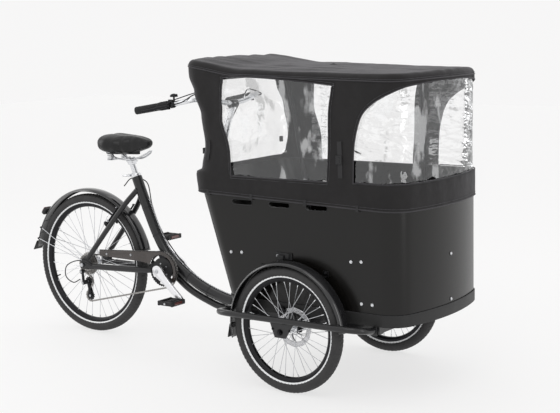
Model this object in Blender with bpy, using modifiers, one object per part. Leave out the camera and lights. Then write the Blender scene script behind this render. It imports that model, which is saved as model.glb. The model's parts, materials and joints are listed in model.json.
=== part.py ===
"""Three-wheeled cargo bicycle, with a steered box on two front wheels and a rain canopy over it.

Metres, +X forward, +Y the rider's left, +Z up. The origin is on the ground, under the middle of the machine.
"""

import math

import bmesh
import bpy
from mathutils import Matrix, Vector

# Driving dimensions
WHEELBASE = 1.398
HALF_TRACK = 0.377
FRONT_RADIUS = 0.254
REAR_RADIUS = 0.330
FRONT_X = 0.6267
REAR_X = FRONT_X - WHEELBASE
GAP = 0.0003

# Wheels
TYRE_HALF_WIDTH = 0.025
TYRE_DEPTH = 0.041
RIM_HALF_WIDTH = 0.0135
RIM_DEPTH = 0.022
WHEEL_STEPS = 32
SPOKES_PER_SIDE = 9
SPOKE_RADIUS = 0.0013
AXLE_RADIUS = 0.006
HUB_BORE = 0.0068
FRONT_HUB_HALF = 0.049
REAR_HUB_HALF = 0.066
ROTOR_RADIUS = 0.080

# Rear frame
MAIN_TUBE_RADIUS = 0.024
LOWER_TUBE_RADIUS = 0.016
STAY_RADIUS = 0.010
CHAINSTAY_RADIUS = 0.013
SEAT_TUBE_TOP = Vector((FRONT_X - 1.103, 0, 0.755))
SEAT_TUBE_LEAN = Vector((-0.383, 0, 0.924))
SEATPOST_RADIUS = 0.0136
SEAT_BORE_DEPTH = 0.26
CRANK_CENTRE = Vector((REAR_X + 0.4745, 0, 0.346))
BB_SHELL_RADIUS = 0.022
BB_BORE = 0.0165
BB_HALF_WIDTH = 0.034
DROPOUT_Y = 0.0705
FLAP_LEAN = 36

# Steering
KINGPIN_X = FRONT_X - 0.20
KINGPIN_RADIUS = 0.0150
HEAD_BORE = 0.0155
HEAD_RADIUS = 0.027
HEAD_LOW = 0.165
HEAD_HIGH = 0.250
RAIL_LOW = 0.268
FLOOR_LOW = 0.2985
FLOOR_TREAD_HIGH = 0.0125

# Drivetrain
CHAIN_Y = -0.048
CHAIN_HALF_WIDTH = 0.0022
CHAIN_THICKNESS = 0.009
CHAIN_GAP = 0.0012
CHAINRING_RADIUS = 0.0765
SPROCKET_RADIUS = 0.0364
SPROCKET_PITCH = 0.005
PULLEY_RADIUS = 0.0215
CRANK_LENGTH = 0.1725
CRANK_ANGLE = math.radians(-42)
CRANK_Y = 0.085
PEDAL_Y = 0.155
GUIDE_PULLEY = Vector((REAR_X + 0.010, CHAIN_Y, 0.248))
TENSION_PULLEY = Vector((REAR_X + 0.020, CHAIN_Y, 0.180))

# Box
BOX_HALF_WIDTH = 0.325
BOX_FRONT = FRONT_X + 0.518
BOX_REAR_LOW = FRONT_X - 0.345
BOX_REAR_HIGH = FRONT_X - 0.512
BOX_LOW = 0.3108
BOX_HIGH = 0.836
BOX_WALL = 0.010
BAND_HIGH = 0.345
FRONT_BOW_RADIUS = 1.0
FRONT_CORNER_RADIUS = 0.10
REAR_CORNER_RADIUS = 0.08
SLOT_Z = 0.737
SLOT_STARTS = (-0.300, -0.117, 0.060)
SLOT_LENGTH = 0.100
SLOT_HEIGHT = 0.020

# Canopy
SKIRT_LOW = 0.752
SKIRT_SLOPE = -0.026
SKIRT_HIGH = 0.842
CANOPY_WALL = 0.004
CANOPY_GAP = 0.002
ROOF_FOLD_Z = 1.2635
ROOF_SLOPE = -0.021
ROOF_REAR_LIFT = 0.030
ROOF_REAR_STARTS = 0.25
ROOF_REAR_ENDS = 0.53
ROOF_CROWN = 0.016
PANE = 0.0015

# Handlebar
BAR_RADIUS = 0.0111
GRIP_RADIUS = 0.0165

UP = Vector((0, 0, 1))
LEFT = Vector((0, 1, 0))
FORWARD = Vector((1, 0, 0))
# Local XY outlines stand upright: in the XZ plane with thickness along Y, or in the YZ plane with thickness along X.
IN_XZ = Matrix(((1, 0, 0, 0), (0, 0, -1, 0), (0, 1, 0, 0), (0, 0, 0, 1)))
IN_YZ = Matrix(((0, 0, 1, 0), (1, 0, 0, 0), (0, 1, 0, 0), (0, 0, 0, 1)))


# ---------------------------------------------------------------- scene, materials and bodies


def clear_scene():
    for obj in list(bpy.data.objects):
        bpy.data.objects.remove(obj, do_unlink=True)


def new_collection(name):
    made = bpy.data.collections.new(name)
    bpy.context.scene.collection.children.link(made)
    return made


def new_material(name, colour, roughness, metallic=0.0, alpha=1.0):
    made = bpy.data.materials.new(name)
    made.use_nodes = True
    shader = made.node_tree.nodes["Principled BSDF"]
    shader.inputs["Base Color"].default_value = (*colour, 1.0)
    shader.inputs["Roughness"].default_value = roughness
    shader.inputs["Metallic"].default_value = metallic
    shader.inputs["Alpha"].default_value = alpha
    return made


clear_scene()
PARTS = new_collection("cargo_tricycle")
WORK = new_collection("work")

BLACK_PAINT = new_material("black_paint", (0.012, 0.012, 0.013), 0.35)
BLACK_ALLOY = new_material("black_alloy", (0.02, 0.02, 0.021), 0.4, 1.0)
SILVER_ALLOY = new_material("silver_alloy", (0.75, 0.76, 0.78), 0.28, 1.0)
STEEL = new_material("steel", (0.55, 0.56, 0.58), 0.3, 1.0)
TYRE_RUBBER = new_material("tyre_rubber", (0.015, 0.015, 0.015), 0.85)
GRIP_RUBBER = new_material("grip_rubber", (0.02, 0.02, 0.02), 0.75)
BLACK_PLASTIC = new_material("black_plastic", (0.02, 0.02, 0.02), 0.5)
GLOSS_PLASTIC = new_material("gloss_plastic", (0.01, 0.01, 0.011), 0.2)
BOX_PANEL = new_material("box_panel", (0.03, 0.028, 0.026), 0.45)
BOX_BASE = new_material("box_base", (0.02, 0.02, 0.02), 0.45)
CANOPY_FABRIC = new_material("canopy_fabric", (0.03, 0.03, 0.032), 0.8)
CLEAR_FILM = new_material("clear_film", (0.95, 0.96, 0.97), 0.05, 0.0, 0.2)
SADDLE_COVER = new_material("saddle_cover", (0.012, 0.012, 0.013), 0.4)
RED_LENS = new_material("red_lens", (0.5, 0.01, 0.01), 0.2)

BODIES = {}


def new_body(name, pivot, parent=None):
    """A moving body is an empty on its joint's axis, and its pieces are the empty's children."""
    empty = bpy.data.objects.new(name + "_pivot", None)
    empty.empty_display_size = 0.03
    empty.location = pivot
    PARTS.objects.link(empty)
    BODIES[name] = empty
    if parent:
        hold(empty, parent)
    return empty


def hold(obj, parent):
    """Parents an object without moving it."""
    bpy.context.view_layer.update()
    obj.parent = parent
    obj.matrix_parent_inverse = parent.matrix_world.inverted()


# ---------------------------------------------------------------- solids, made in world coordinates


def solid_from(bm, place=Matrix()):
    bmesh.ops.remove_doubles(bm, verts=bm.verts, dist=1e-6)
    bmesh.ops.recalc_face_normals(bm, faces=bm.faces)
    bm.transform(place)
    mesh = bpy.data.meshes.new("solid")
    bm.to_mesh(mesh)
    bm.free()
    obj = bpy.data.objects.new("solid", mesh)
    WORK.objects.link(obj)
    return obj


def baked(obj, weld=1e-5):
    """The object's evaluated shape as a plain welded solid in world coordinates. The object is removed."""
    bpy.context.view_layer.update()
    evaluated = obj.evaluated_get(bpy.context.evaluated_depsgraph_get())
    mesh = bpy.data.meshes.new_from_object(evaluated)
    bm = bmesh.new()
    bm.from_mesh(mesh)
    bm.transform(obj.matrix_world)
    bmesh.ops.remove_doubles(bm, verts=bm.verts, dist=weld)
    bmesh.ops.dissolve_degenerate(bm, dist=1e-6, edges=bm.edges)
    bpy.data.meshes.remove(mesh)
    bpy.data.objects.remove(obj, do_unlink=True)
    return solid_from(bm)


def cylinder(start, end, radius, sides=16, end_radius=None):
    start, end = Vector(start), Vector(end)
    span = end - start
    bm = bmesh.new()
    bmesh.ops.create_cone(
        bm,
        cap_ends=True,
        segments=sides,
        radius1=radius,
        radius2=radius if end_radius is None else end_radius,
        depth=span.length,
    )
    turn = UP.rotation_difference(span).to_matrix().to_4x4()
    return solid_from(bm, Matrix.Translation((start + end) / 2) @ turn)


def block(centre, size, turn=Matrix()):
    bm = bmesh.new()
    bmesh.ops.create_cube(bm, size=1.0)
    bmesh.ops.scale(bm, vec=size, verts=bm.verts)
    return solid_from(bm, Matrix.Translation(centre) @ turn)


def turned(profile, centre, axis=LEFT, steps=32, sweep=360.0, first=0.0, thickness=0.0):
    """A profile of (radius, height) points turned about an axis.

    The profile is a loop, unless it starts on the axis or gets a thickness.
    """
    mesh = bpy.data.meshes.new("profile")
    points = [(radius, 0, height) for radius, height in profile]
    last = len(points)
    is_loop = profile[0][0] > 0 and not thickness
    edges = [(i, (i + 1) % last) for i in range(last if is_loop else last - 1)]
    mesh.from_pydata(points, edges, [])
    obj = bpy.data.objects.new("profile", mesh)
    WORK.objects.link(obj)
    frame = UP.rotation_difference(axis).to_matrix().to_4x4()
    if axis == LEFT:
        # Local X stays level, so that a wheel's lowest corner is exactly under its axle.
        frame = Matrix(((1, 0, 0, 0), (0, 0, 1, 0), (0, -1, 0, 0), (0, 0, 0, 1)))
    obj.matrix_world = Matrix.Translation(centre) @ frame @ Matrix.Rotation(math.radians(first), 4, "Z")
    screw = obj.modifiers.new("turn", "SCREW")
    screw.angle = math.radians(sweep)
    screw.steps = steps
    screw.render_steps = steps
    screw.use_merge_vertices = sweep == 360.0
    screw.merge_threshold = 1e-5
    if thickness:
        shell = obj.modifiers.new("thickness", "SOLIDIFY")
        shell.thickness = thickness
        shell.offset = -1
    return baked(obj)


def smooth_path(points, per_span=4):
    """Points along a Catmull-Rom curve through the given points."""
    points = [Vector(p) for p in points]
    ends = [2 * points[0] - points[1], *points, 2 * points[-1] - points[-2]]
    path = []
    for a, b, c, d in zip(ends, ends[1:], ends[2:], ends[3:]):
        for step in range(per_span):
            t = step / per_span
            path.append(0.5 * (2 * b + (c - a) * t + (2 * a - 5 * b + 4 * c - d) * t**2 + (3 * b - a - 3 * c + d) * t**3))
    return [*path, points[-1]]


def tube(points, radius, resolution=3):
    """A round bar along the points. Its section has 4 + 2 x resolution sides."""
    curve = bpy.data.curves.new("tube", "CURVE")
    curve.dimensions = "3D"
    curve.bevel_depth = radius
    curve.bevel_resolution = resolution
    curve.use_fill_caps = True
    spline = curve.splines.new("POLY")
    spline.points.add(len(points) - 1)
    for place, point in zip(spline.points, points):
        place.co = (*point, 1)
    obj = bpy.data.objects.new("tube", curve)
    WORK.objects.link(obj)
    return baked(obj)


def plate(loops, thickness, place=Matrix()):
    """A flat plate. The first loop of (x, y) points is its outline, and the others are holes."""
    curve = bpy.data.curves.new("plate", "CURVE")
    curve.dimensions = "2D"
    curve.fill_mode = "BOTH"
    curve.extrude = thickness / 2
    for loop in loops:
        spline = curve.splines.new("POLY")
        spline.points.add(len(loop) - 1)
        for at, (x, y) in zip(spline.points, loop):
            at.co = (x, y, 0, 1)
        spline.use_cyclic_u = True
    obj = bpy.data.objects.new("plate", curve)
    obj.matrix_world = place
    WORK.objects.link(obj)
    return baked(obj)


def combined(target, others, operation):
    for other in others:
        modifier = target.modifiers.new("join", "BOOLEAN")
        modifier.operation = operation
        modifier.object = other
    result = baked(target, 1e-6)
    for other in others:
        bpy.data.objects.remove(other, do_unlink=True)
    return result


def united(target, *others):
    return combined(target, others, "UNION")


def cut(target, *cutters):
    return combined(target, cutters, "DIFFERENCE")


def keep(name, obj, material, body="rear_frame", smooth=35.0):
    """Names a finished solid, gives it its material and fixes it to its body."""
    obj.name = name
    obj.data.name = name
    obj.data.materials.clear()
    obj.data.materials.append(material)
    obj.data.shade_smooth()
    obj.data.set_sharp_from_angle(angle=math.radians(smooth))
    WORK.objects.unlink(obj)
    PARTS.objects.link(obj)
    hold(obj, BODIES[body])
    return obj


def polar(centre, radius, degrees):
    angle = math.radians(degrees)
    return (centre[0] + radius * math.cos(angle), centre[1] + radius * math.sin(angle))


def arc(centre, radius, first, last, steps):
    return [polar(centre, radius, first + (last - first) * i / steps) for i in range(steps + 1)]


def circle(centre, radius, sides=16):
    return [polar(centre, radius, 360 * i / sides) for i in range(sides)]


def stadium(a, b, radius, steps=5):
    """Outline of a bar with round ends between two (x, y) points."""
    heading = math.degrees(math.atan2(b[1] - a[1], b[0] - a[0]))
    return arc(b, radius, heading - 90, heading + 90, steps) + arc(a, radius, heading + 90, heading + 270, steps)


# ---------------------------------------------------------------- wheels


def spoke(centre, angle, hub_half, hub_radius, rim_radius, side):
    direction = Vector((math.cos(angle), 0, math.sin(angle)))
    root = centre + direction * hub_radius + LEFT * side * hub_half
    tip = centre + direction * rim_radius + LEFT * side * 0.003
    return cylinder(root, tip, SPOKE_RADIUS, 4)


def wheel(prefix, centre, radius, body, hub_half, flange_half, flange_radius):
    """A tyre, a rim, and a hub with its spokes."""
    bead = radius - TYRE_DEPTH
    tyre = [
        (radius, 0.009),
        (radius, -0.009),
        (radius - 0.008, -0.021),
        (radius - 0.024, -TYRE_HALF_WIDTH),
        (bead, -0.0135),
        (bead, 0.0135),
        (radius - 0.024, TYRE_HALF_WIDTH),
        (radius - 0.008, 0.021),
    ]
    keep(prefix + "_tyre", turned(tyre, centre, steps=WHEEL_STEPS), TYRE_RUBBER, body)
    top = bead - GAP
    rim = [
        (top, RIM_HALF_WIDTH),
        (top, -RIM_HALF_WIDTH),
        (top - 0.011, -RIM_HALF_WIDTH),
        (top - RIM_DEPTH, -0.006),
        (top - RIM_DEPTH, 0.006),
        (top - 0.011, RIM_HALF_WIDTH),
    ]
    keep(prefix + "_rim", turned(rim, centre, steps=WHEEL_STEPS), BLACK_ALLOY, body)
    shell = [
        (0.0112, hub_half),
        (0.0112, flange_half + 0.002),
        (flange_radius, flange_half + 0.002),
        (flange_radius, flange_half - 0.002),
        (0.014, flange_half - 0.004),
        (0.014, -flange_half + 0.004),
        (flange_radius, -flange_half + 0.002),
        (flange_radius, -flange_half - 0.002),
        (0.0112, -flange_half - 0.002),
        (0.0112, -hub_half),
        (HUB_BORE, -hub_half),
        (HUB_BORE, hub_half),
    ]
    hub = turned(shell, centre, steps=12)
    spokes = []
    for side in (1, -1):
        for i in range(SPOKES_PER_SIDE):
            angle = 2 * math.pi * (i + (0.25 if side > 0 else 0.75)) / SPOKES_PER_SIDE
            # The rim is a polygon, so a spoke ends just short of its flats.
            reach = (top - RIM_DEPTH) * math.cos(math.pi / WHEEL_STEPS) - 2 * GAP
            spokes.append(spoke(centre, angle, flange_half, flange_radius - 0.004, reach, side))
    keep(prefix + "_hub", united(hub, *spokes), SILVER_ALLOY, body)


def brake_rotor(name, centre, body):
    ring = [
        (ROTOR_RADIUS, 0.0009),
        (ROTOR_RADIUS, -0.0009),
        (0.0118, -0.0009),
        (0.0118, 0.0009),
    ]
    keep(name, turned(ring, centre, steps=24), STEEL, body)


# ---------------------------------------------------------------- rear frame


def main_tube_path():
    """The seat tube runs down and bends forward into the boom that reaches the steering head."""
    x = FRONT_X
    return smooth_path(
        [
            SEAT_TUBE_TOP,
            (x - 1.059, 0, 0.649),
            (x - 0.988, 0, 0.496),
            (x - 0.921, 0, 0.400),
            (x - 0.806, 0, 0.317),
            (x - 0.693, 0, 0.264),
            (x - 0.560, 0, 0.230),
            (x - 0.400, 0, 0.213),
            (KINGPIN_X, 0, 0.209),
        ],
        2,
    )


def lower_tube_path():
    x = FRONT_X
    return smooth_path(
        [
            CRANK_CENTRE + Vector((0.006, 0, -0.008)),
            (x - 0.809, 0, 0.262),
            (x - 0.695, 0, 0.217),
            (x - 0.611, 0, 0.197),
            (x - 0.450, 0, 0.186),
            (KINGPIN_X, 0, 0.182),
        ],
        2,
    )


STAY_TOP = Vector((FRONT_X - 1.088, 0.016, 0.700))
STAY_MIDDLE = Vector((FRONT_X - 1.165, 0.056, 0.600))
STAY_END = Vector((REAR_X + 0.031, DROPOUT_Y - 0.001, 0.364))
STAY_HEADING = (STAY_END - STAY_MIDDLE).normalized()
# Brake arms turn on bosses that stick out behind the stays, square to them.
BOSS_HEADING = Vector((STAY_HEADING.z, 0, -STAY_HEADING.x)).normalized()


def mirrored(vector, side):
    return Vector((vector.x, vector.y * side, vector.z))


def boss_root(side):
    """The point on the stay's centre line where the brake arm's boss starts."""
    return mirrored(STAY_MIDDLE + STAY_HEADING * 0.105, side)


def rear_frame():
    frame = tube(main_tube_path(), MAIN_TUBE_RADIUS, 3)
    pieces = [
        tube(lower_tube_path(), LOWER_TUBE_RADIUS, 2),
        cylinder(CRANK_CENTRE - LEFT * BB_HALF_WIDTH, CRANK_CENTRE + LEFT * BB_HALF_WIDTH, BB_SHELL_RADIUS, 20),
        block(CRANK_CENTRE + Vector((0.030, 0, 0.008)), (0.050, 0.020, 0.034)),
        cylinder((KINGPIN_X, 0, HEAD_LOW), (KINGPIN_X, 0, HEAD_HIGH), HEAD_RADIUS, 20),
    ]
    for side in (1, -1):
        stay = [mirrored(p, side) for p in (STAY_TOP, STAY_MIDDLE, STAY_END)]
        chainstay = [
            CRANK_CENTRE + Vector((-0.006, 0.018 * side, -0.004)),
            CRANK_CENTRE + Vector((-0.080, 0.0310 * side, -0.010)),
            CRANK_CENTRE + Vector((-0.150, 0.0450 * side, -0.014)),
            Vector((REAR_X + 0.040, (DROPOUT_Y - 0.001) * side, 0.326)),
        ]
        outline = [
            (REAR_X - 0.016, 0.310),
            (REAR_X + 0.046, 0.312),
            (REAR_X + 0.052, 0.338),
            (REAR_X + 0.046, 0.380),
            (REAR_X + 0.026, 0.380),
            (REAR_X - 0.014, 0.350),
        ]
        hole = circle((REAR_X, REAR_RADIUS), AXLE_RADIUS + GAP, 12)
        place = Matrix.Translation((0, DROPOUT_Y * side, 0)) @ IN_XZ
        root = boss_root(side)
        pieces += [
            tube(stay, STAY_RADIUS, 2),
            tube(chainstay, CHAINSTAY_RADIUS, 2),
            plate([outline, hole], 0.006, place),
            cylinder(root, root + BOSS_HEADING * 0.032, 0.0045, 10),
        ]
    frame = united(frame, *pieces)
    bore_end = SEAT_TUBE_TOP - SEAT_TUBE_LEAN * SEAT_BORE_DEPTH
    frame = cut(
        frame,
        cylinder(SEAT_TUBE_TOP + SEAT_TUBE_LEAN * 0.02, bore_end, SEATPOST_RADIUS + 0.0005, 16),
        cylinder(CRANK_CENTRE - LEFT * 0.05, CRANK_CENTRE + LEFT * 0.05, BB_BORE, 16),
        cylinder((KINGPIN_X, 0, HEAD_LOW - 0.02), (KINGPIN_X, 0, HEAD_HIGH + 0.02), HEAD_BORE, 16),
    )
    keep("rear_frame", frame, BLACK_PAINT)


def seat_clamp():
    low = SEAT_TUBE_TOP + SEAT_TUBE_LEAN * 0.001
    ring = [(0.0225, 0.014), (0.0225, 0), (SEATPOST_RADIUS + 0.0006, 0), (SEATPOST_RADIUS + 0.0006, 0.014)]
    collar = turned(ring, low, SEAT_TUBE_LEAN, 20)
    ear = block(low + SEAT_TUBE_LEAN * 0.007 - FORWARD * 0.027, (0.016, 0.020, 0.011))
    keep("seat_clamp", united(collar, ear), SILVER_ALLOY)


CLAMP_PIVOT = SEAT_TUBE_TOP + SEAT_TUBE_LEAN * 0.008 + Vector((-0.029, -0.0165, 0))


def seat_clamp_lever():
    """The quick-release lever turns about the clamp bolt, which runs across the machine."""
    cam = cylinder(CLAMP_PIVOT - LEFT * 0.006, CLAMP_PIVOT + LEFT * 0.006, 0.007, 14)
    handle = tube(
        [CLAMP_PIVOT, CLAMP_PIVOT + Vector((-0.020, -0.001, -0.002)), CLAMP_PIVOT + Vector((-0.046, 0.006, -0.004))],
        0.0038,
        2,
    )
    keep("seat_clamp_lever", united(cam, handle), SILVER_ALLOY, "seat_clamp_lever")


def rear_axle():
    half = DROPOUT_Y + 0.016
    centre = Vector((REAR_X, 0, REAR_RADIUS))
    shaft = cylinder(centre - LEFT * half, centre + LEFT * half, AXLE_RADIUS - 0.0006, 12)
    nuts = []
    for side in (1, -1):
        start = centre + LEFT * side * (DROPOUT_Y + 0.0035)
        nuts.append(cylinder(start, start + LEFT * side * 0.009, 0.011, 6))
    keep("rear_axle", united(shaft, *nuts), STEEL)


def rear_fender():
    centre = Vector((REAR_X, 0, REAR_RADIUS))
    arch = [(0.345, 0.030), (0.354, 0.021), (0.357, 0.0), (0.354, -0.021), (0.345, -0.030)]
    shell = turned(arch, centre, steps=20, sweep=-158.0, first=-14.0, thickness=0.002)
    flap_turn = Matrix.Rotation(math.radians(FLAP_LEAN), 4, "Y")
    flap = block(Vector((REAR_X - 0.3635, 0, 0.3895)), (0.003, 0.058, 0.050), flap_turn)
    keep("rear_fender", united(shell, flap), GLOSS_PLASTIC)


def rear_fender_stay():
    """One bent wire runs from each dropout, round behind the fender."""
    tip = Vector((REAR_X - 0.196, 0, 0.6415))
    left = [Vector((REAR_X - 0.005, 0.0765, 0.356)), Vector((REAR_X - 0.160, 0.050, 0.588)), tip + LEFT * 0.040]
    right = [mirrored(p, -1) for p in reversed(left)]
    keep("rear_fender_stay", tube(smooth_path(left + right, 3), 0.0022, 1), STEEL)


def tail_light():
    centre = Vector((REAR_X - 0.300, 0, 0.560))
    turn = Matrix.Rotation(math.radians(40), 4, "Y")
    keep("tail_light", block(centre, (0.020, 0.044, 0.026), turn), RED_LENS)


# ---------------------------------------------------------------- drivetrain


def heading(a, b):
    """Direction from one wheel's centre to another's, in degrees in the XZ plane."""
    return math.degrees(math.atan2(b.z - a.z, b.x - a.x))


def crossing(a, radius_a, b, radius_b):
    """Half the angle that a run crossing between two wheels leaves on each."""
    return math.degrees(math.acos((radius_a + radius_b) / (b - a).length))


def spread(a, radius_a, b, radius_b):
    """How far a run outside two wheels leans from the line of their centres, in degrees."""
    return math.degrees(math.asin((radius_b - radius_a) / (b - a).length))


def chain_loop(offset):
    """The chain's inner face round the chainring, sprocket and both pulleys, moved outward by an offset."""
    ring, sprocket = CRANK_CENTRE + LEFT * CHAIN_Y, Vector((REAR_X, CHAIN_Y, REAR_RADIUS))
    ring_r = CHAINRING_RADIUS + CHAIN_GAP
    sprocket_r = SPROCKET_RADIUS + CHAIN_GAP
    tension_r = PULLEY_RADIUS + CHAIN_GAP
    # The chain passes the guide pulley on its outer face.
    guide_r = tension_r + CHAIN_THICKNESS
    top = heading(sprocket, ring) + 90 + spread(sprocket, sprocket_r, ring, ring_r)
    down = heading(sprocket, GUIDE_PULLEY) - crossing(sprocket, sprocket_r, GUIDE_PULLEY, guide_r)
    across = heading(GUIDE_PULLEY, TENSION_PULLEY) + crossing(GUIDE_PULLEY, guide_r, TENSION_PULLEY, tension_r)
    low = heading(TENSION_PULLEY, ring) - 90 - spread(TENSION_PULLEY, tension_r, ring, ring_r)
    return (
        arc((ring.x, ring.z), ring_r + offset, low, top, 14)
        + arc((sprocket.x, sprocket.z), sprocket_r + offset, top, down + 360, 8)
        + arc((GUIDE_PULLEY.x, GUIDE_PULLEY.z), guide_r - offset, down + 180, across, 5)
        + arc((TENSION_PULLEY.x, TENSION_PULLEY.z), tension_r + offset, across + 180, low + 360, 7)
    )


def chain():
    outer = chain_loop(CHAIN_THICKNESS)
    inner = chain_loop(0)
    place = Matrix.Translation((0, CHAIN_Y, 0)) @ IN_XZ
    keep("chain", plate([outer, inner], 2 * CHAIN_HALF_WIDTH, place), STEEL)


def chain_guard():
    """A flat guard outside the chainring and the chain's upper run."""
    c = (CRANK_CENTRE.x, CRANK_CENTRE.z)
    round_front = arc(c, 0.090, -35, 104, 14)
    outline = round_front + [
        (c[0] - 0.375, 0.412),
        (c[0] - 0.375, 0.372),
        (c[0] - 0.120, 0.372),
        *arc(c, 0.066, 160, -35, 12),
    ]
    place = Matrix.Translation((0, -0.0605, 0)) @ IN_XZ
    keep("chain_guard", plate([outline], 0.003, place), GLOSS_PLASTIC)


def cassette():
    """Seven sprockets, smallest outside, on a body that turns on the hub."""
    radii = [0.0240, 0.0283, SPROCKET_RADIUS, 0.0404, 0.0444, 0.0485, 0.0545]
    outer = []
    for i, radius in enumerate(radii):
        low = CHAIN_Y - (2.5 - i) * SPROCKET_PITCH
        outer += [(radius, low), (radius, low + SPROCKET_PITCH)]
    bore = 0.0118
    profile = outer[::-1] + [(bore, outer[0][1]), (bore, outer[-1][1])]
    keep("cassette", turned(profile, (REAR_X, 0, REAR_RADIUS), steps=20), STEEL, "cassette")


def chainring():
    outer = circle((CRANK_CENTRE.x, CRANK_CENTRE.z), CHAINRING_RADIUS, 38)
    bore = circle((CRANK_CENTRE.x, CRANK_CENTRE.z), 0.0130, 16)
    windows = []
    for i in range(5):
        at = polar((CRANK_CENTRE.x, CRANK_CENTRE.z), 0.044, 72 * i)
        windows.append(circle(at, 0.014, 8))
    place = Matrix.Translation((0, CHAIN_Y, 0)) @ IN_XZ
    keep("chainring", plate([outer, bore, *windows], 0.0036, place), BLACK_ALLOY, "crank")


def pedal_centre(side):
    """Where the crank ends. The right crank points forward and down, and the left one the other way."""
    reach = CRANK_LENGTH * (1 if side < 0 else -1)
    return CRANK_CENTRE + Vector((reach * math.cos(CRANK_ANGLE), side * CRANK_Y, reach * math.sin(CRANK_ANGLE)))


def crank_arm(side):
    """The arm with the pedal's spindle, and on the left the bottom bracket's axle too."""
    hub = CRANK_CENTRE + LEFT * side * CRANK_Y
    end = pedal_centre(side)
    outline = stadium((hub.x, hub.z), (end.x, end.z), 0.0145, 6)
    place = Matrix.Translation((0, side * CRANK_Y, 0)) @ IN_XZ
    spindle = cylinder(end, end + LEFT * side * 0.112, 0.0050, 10)
    arm = united(plate([outline], 0.015, place), spindle)
    if side > 0:
        axle = cylinder(CRANK_CENTRE - LEFT * (CRANK_Y - 0.0085), hub, 0.0115, 16)
        keep("crank_arm_left", united(arm, axle), SILVER_ALLOY, "crank")
    else:
        keep("crank_arm_right", arm, SILVER_ALLOY, "crank")


def pedal(side):
    name = "pedal_left" if side > 0 else "pedal_right"
    centre = pedal_centre(side)
    middle = centre + LEFT * side * 0.062
    tread = block(middle, (0.082, 0.092, 0.020))
    gaps = []
    for end in (1, -1):
        gaps.append(block(middle + FORWARD * end * 0.023, (0.020, 0.066, 0.05)))
    bore = cylinder(centre - LEFT * side * 0.01, centre + LEFT * side * 0.14, 0.0056, 12)
    keep(name, cut(tread, *gaps, bore), BLACK_PLASTIC, name)


def derailleur_body():
    knuckle = GUIDE_PULLEY + Vector((0.002, -0.030, 0))
    link = tube(
        [
            Vector((REAR_X + 0.004, -0.0865, 0.300)),
            Vector((REAR_X + 0.010, -0.090, 0.275)),
            knuckle + Vector((0, -0.010, 0.004)),
        ],
        0.008,
        2,
    )
    pivot = cylinder(knuckle + LEFT * -0.014, knuckle + LEFT * 0.0145, 0.010, 14)
    keep("derailleur_body", united(link, pivot), BLACK_ALLOY)


def derailleur_cage():
    outline = stadium((GUIDE_PULLEY.x, GUIDE_PULLEY.z), (TENSION_PULLEY.x, TENSION_PULLEY.z), 0.0105, 6)
    sides = []
    for side in (1, -1):
        place = Matrix.Translation((0, CHAIN_Y + side * 0.0065, 0)) @ IN_XZ
        sides.append(plate([outline], 0.002, place))
    bolts = []
    for centre in (GUIDE_PULLEY, TENSION_PULLEY):
        bolts.append(cylinder(centre - LEFT * 0.0074, centre + LEFT * 0.0074, 0.003, 10))
    keep("derailleur_cage", united(sides[0], sides[1], *bolts), BLACK_ALLOY, "derailleur_cage")


def pulley(name, centre):
    wheel_loop = circle((centre.x, centre.z), PULLEY_RADIUS, 22)
    bore = circle((centre.x, centre.z), 0.0036, 10)
    place = Matrix.Translation((0, CHAIN_Y, 0)) @ IN_XZ
    keep(name, plate([wheel_loop, bore], 0.0044, place), BLACK_PLASTIC, name)


def brake_arm(side):
    """A brake arm on its boss behind the stay, with the pad that meets the rim."""
    name = "rear_brake_arm_left" if side > 0 else "rear_brake_arm_right"
    root = boss_root(side)
    start, end = root + BOSS_HEADING * 0.0125, root + BOSS_HEADING * 0.0285
    middle = (start + end) / 2
    upward = Vector((-STAY_HEADING.x, 0, -STAY_HEADING.z)).normalized()
    turn = Matrix.Rotation(math.atan2(upward.x, upward.z), 4, "Y")
    sleeve = cylinder(start, end, 0.0095, 14)
    arm = block(middle + upward * 0.058 - LEFT * side * 0.004, (0.010, 0.011, 0.104), turn)
    pad_centre = middle + upward * 0.024
    pad = block(Vector((pad_centre.x, side * 0.0235, pad_centre.z)), (0.050, 0.009, 0.010), turn)
    post = cylinder((pad_centre.x, side * 0.022, pad_centre.z), (pad_centre.x, side * 0.052, pad_centre.z), 0.0035, 10)
    joined = united(sleeve, arm, pad, post)
    bore = cylinder(root, root + BOSS_HEADING * 0.05, 0.0049, 12)
    keep(name, cut(joined, bore), BLACK_ALLOY, name)


# ---------------------------------------------------------------- saddle


def saddle_place():
    """The top of the seatpost, under the saddle."""
    return SEAT_TUBE_TOP + SEAT_TUBE_LEAN * 0.068


def seatpost():
    foot = SEAT_TUBE_TOP - SEAT_TUBE_LEAN * 0.165
    top = saddle_place()
    post = cylinder(foot, top, SEATPOST_RADIUS, 20)
    head = block(top + Vector((0, 0, 0.006)), (0.040, 0.052, 0.020))
    keep("seatpost", united(post, head), SILVER_ALLOY, "seatpost")


def saddle_rails():
    """One bent wire: two rails under the saddle that meet at the nose."""
    top = saddle_place()
    side = [
        top + Vector((-0.095, 0.040, 0.046)),
        top + Vector((-0.070, 0.030, 0.024)),
        top + Vector((0.030, 0.028, 0.0205)),
        top + Vector((0.095, 0.016, 0.045)),
        top + Vector((0.118, 0.004, 0.056)),
    ]
    path = side + [mirrored(p, -1) for p in reversed(side)]
    keep("saddle_rails", tube(smooth_path(path, 2), 0.0035, 2), STEEL, "seatpost")


def saddle_outline(scale, lift):
    """Rounded outline of the saddle, seen from above."""
    top = saddle_place()
    start, length = top.x - 0.155, 0.275
    rows = [0.0, 0.04, 0.12, 0.25, 0.40, 0.55, 0.70, 0.85, 0.96, 1.0]
    widths = [0.055, 0.082, 0.098, 0.104, 0.094, 0.070, 0.048, 0.036, 0.026, 0.012]
    right = [(start + length * row, -w * scale) for row, w in zip(rows, widths)]
    left = [(x, -y) for x, y in reversed(right)]
    return right + left, lift


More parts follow.
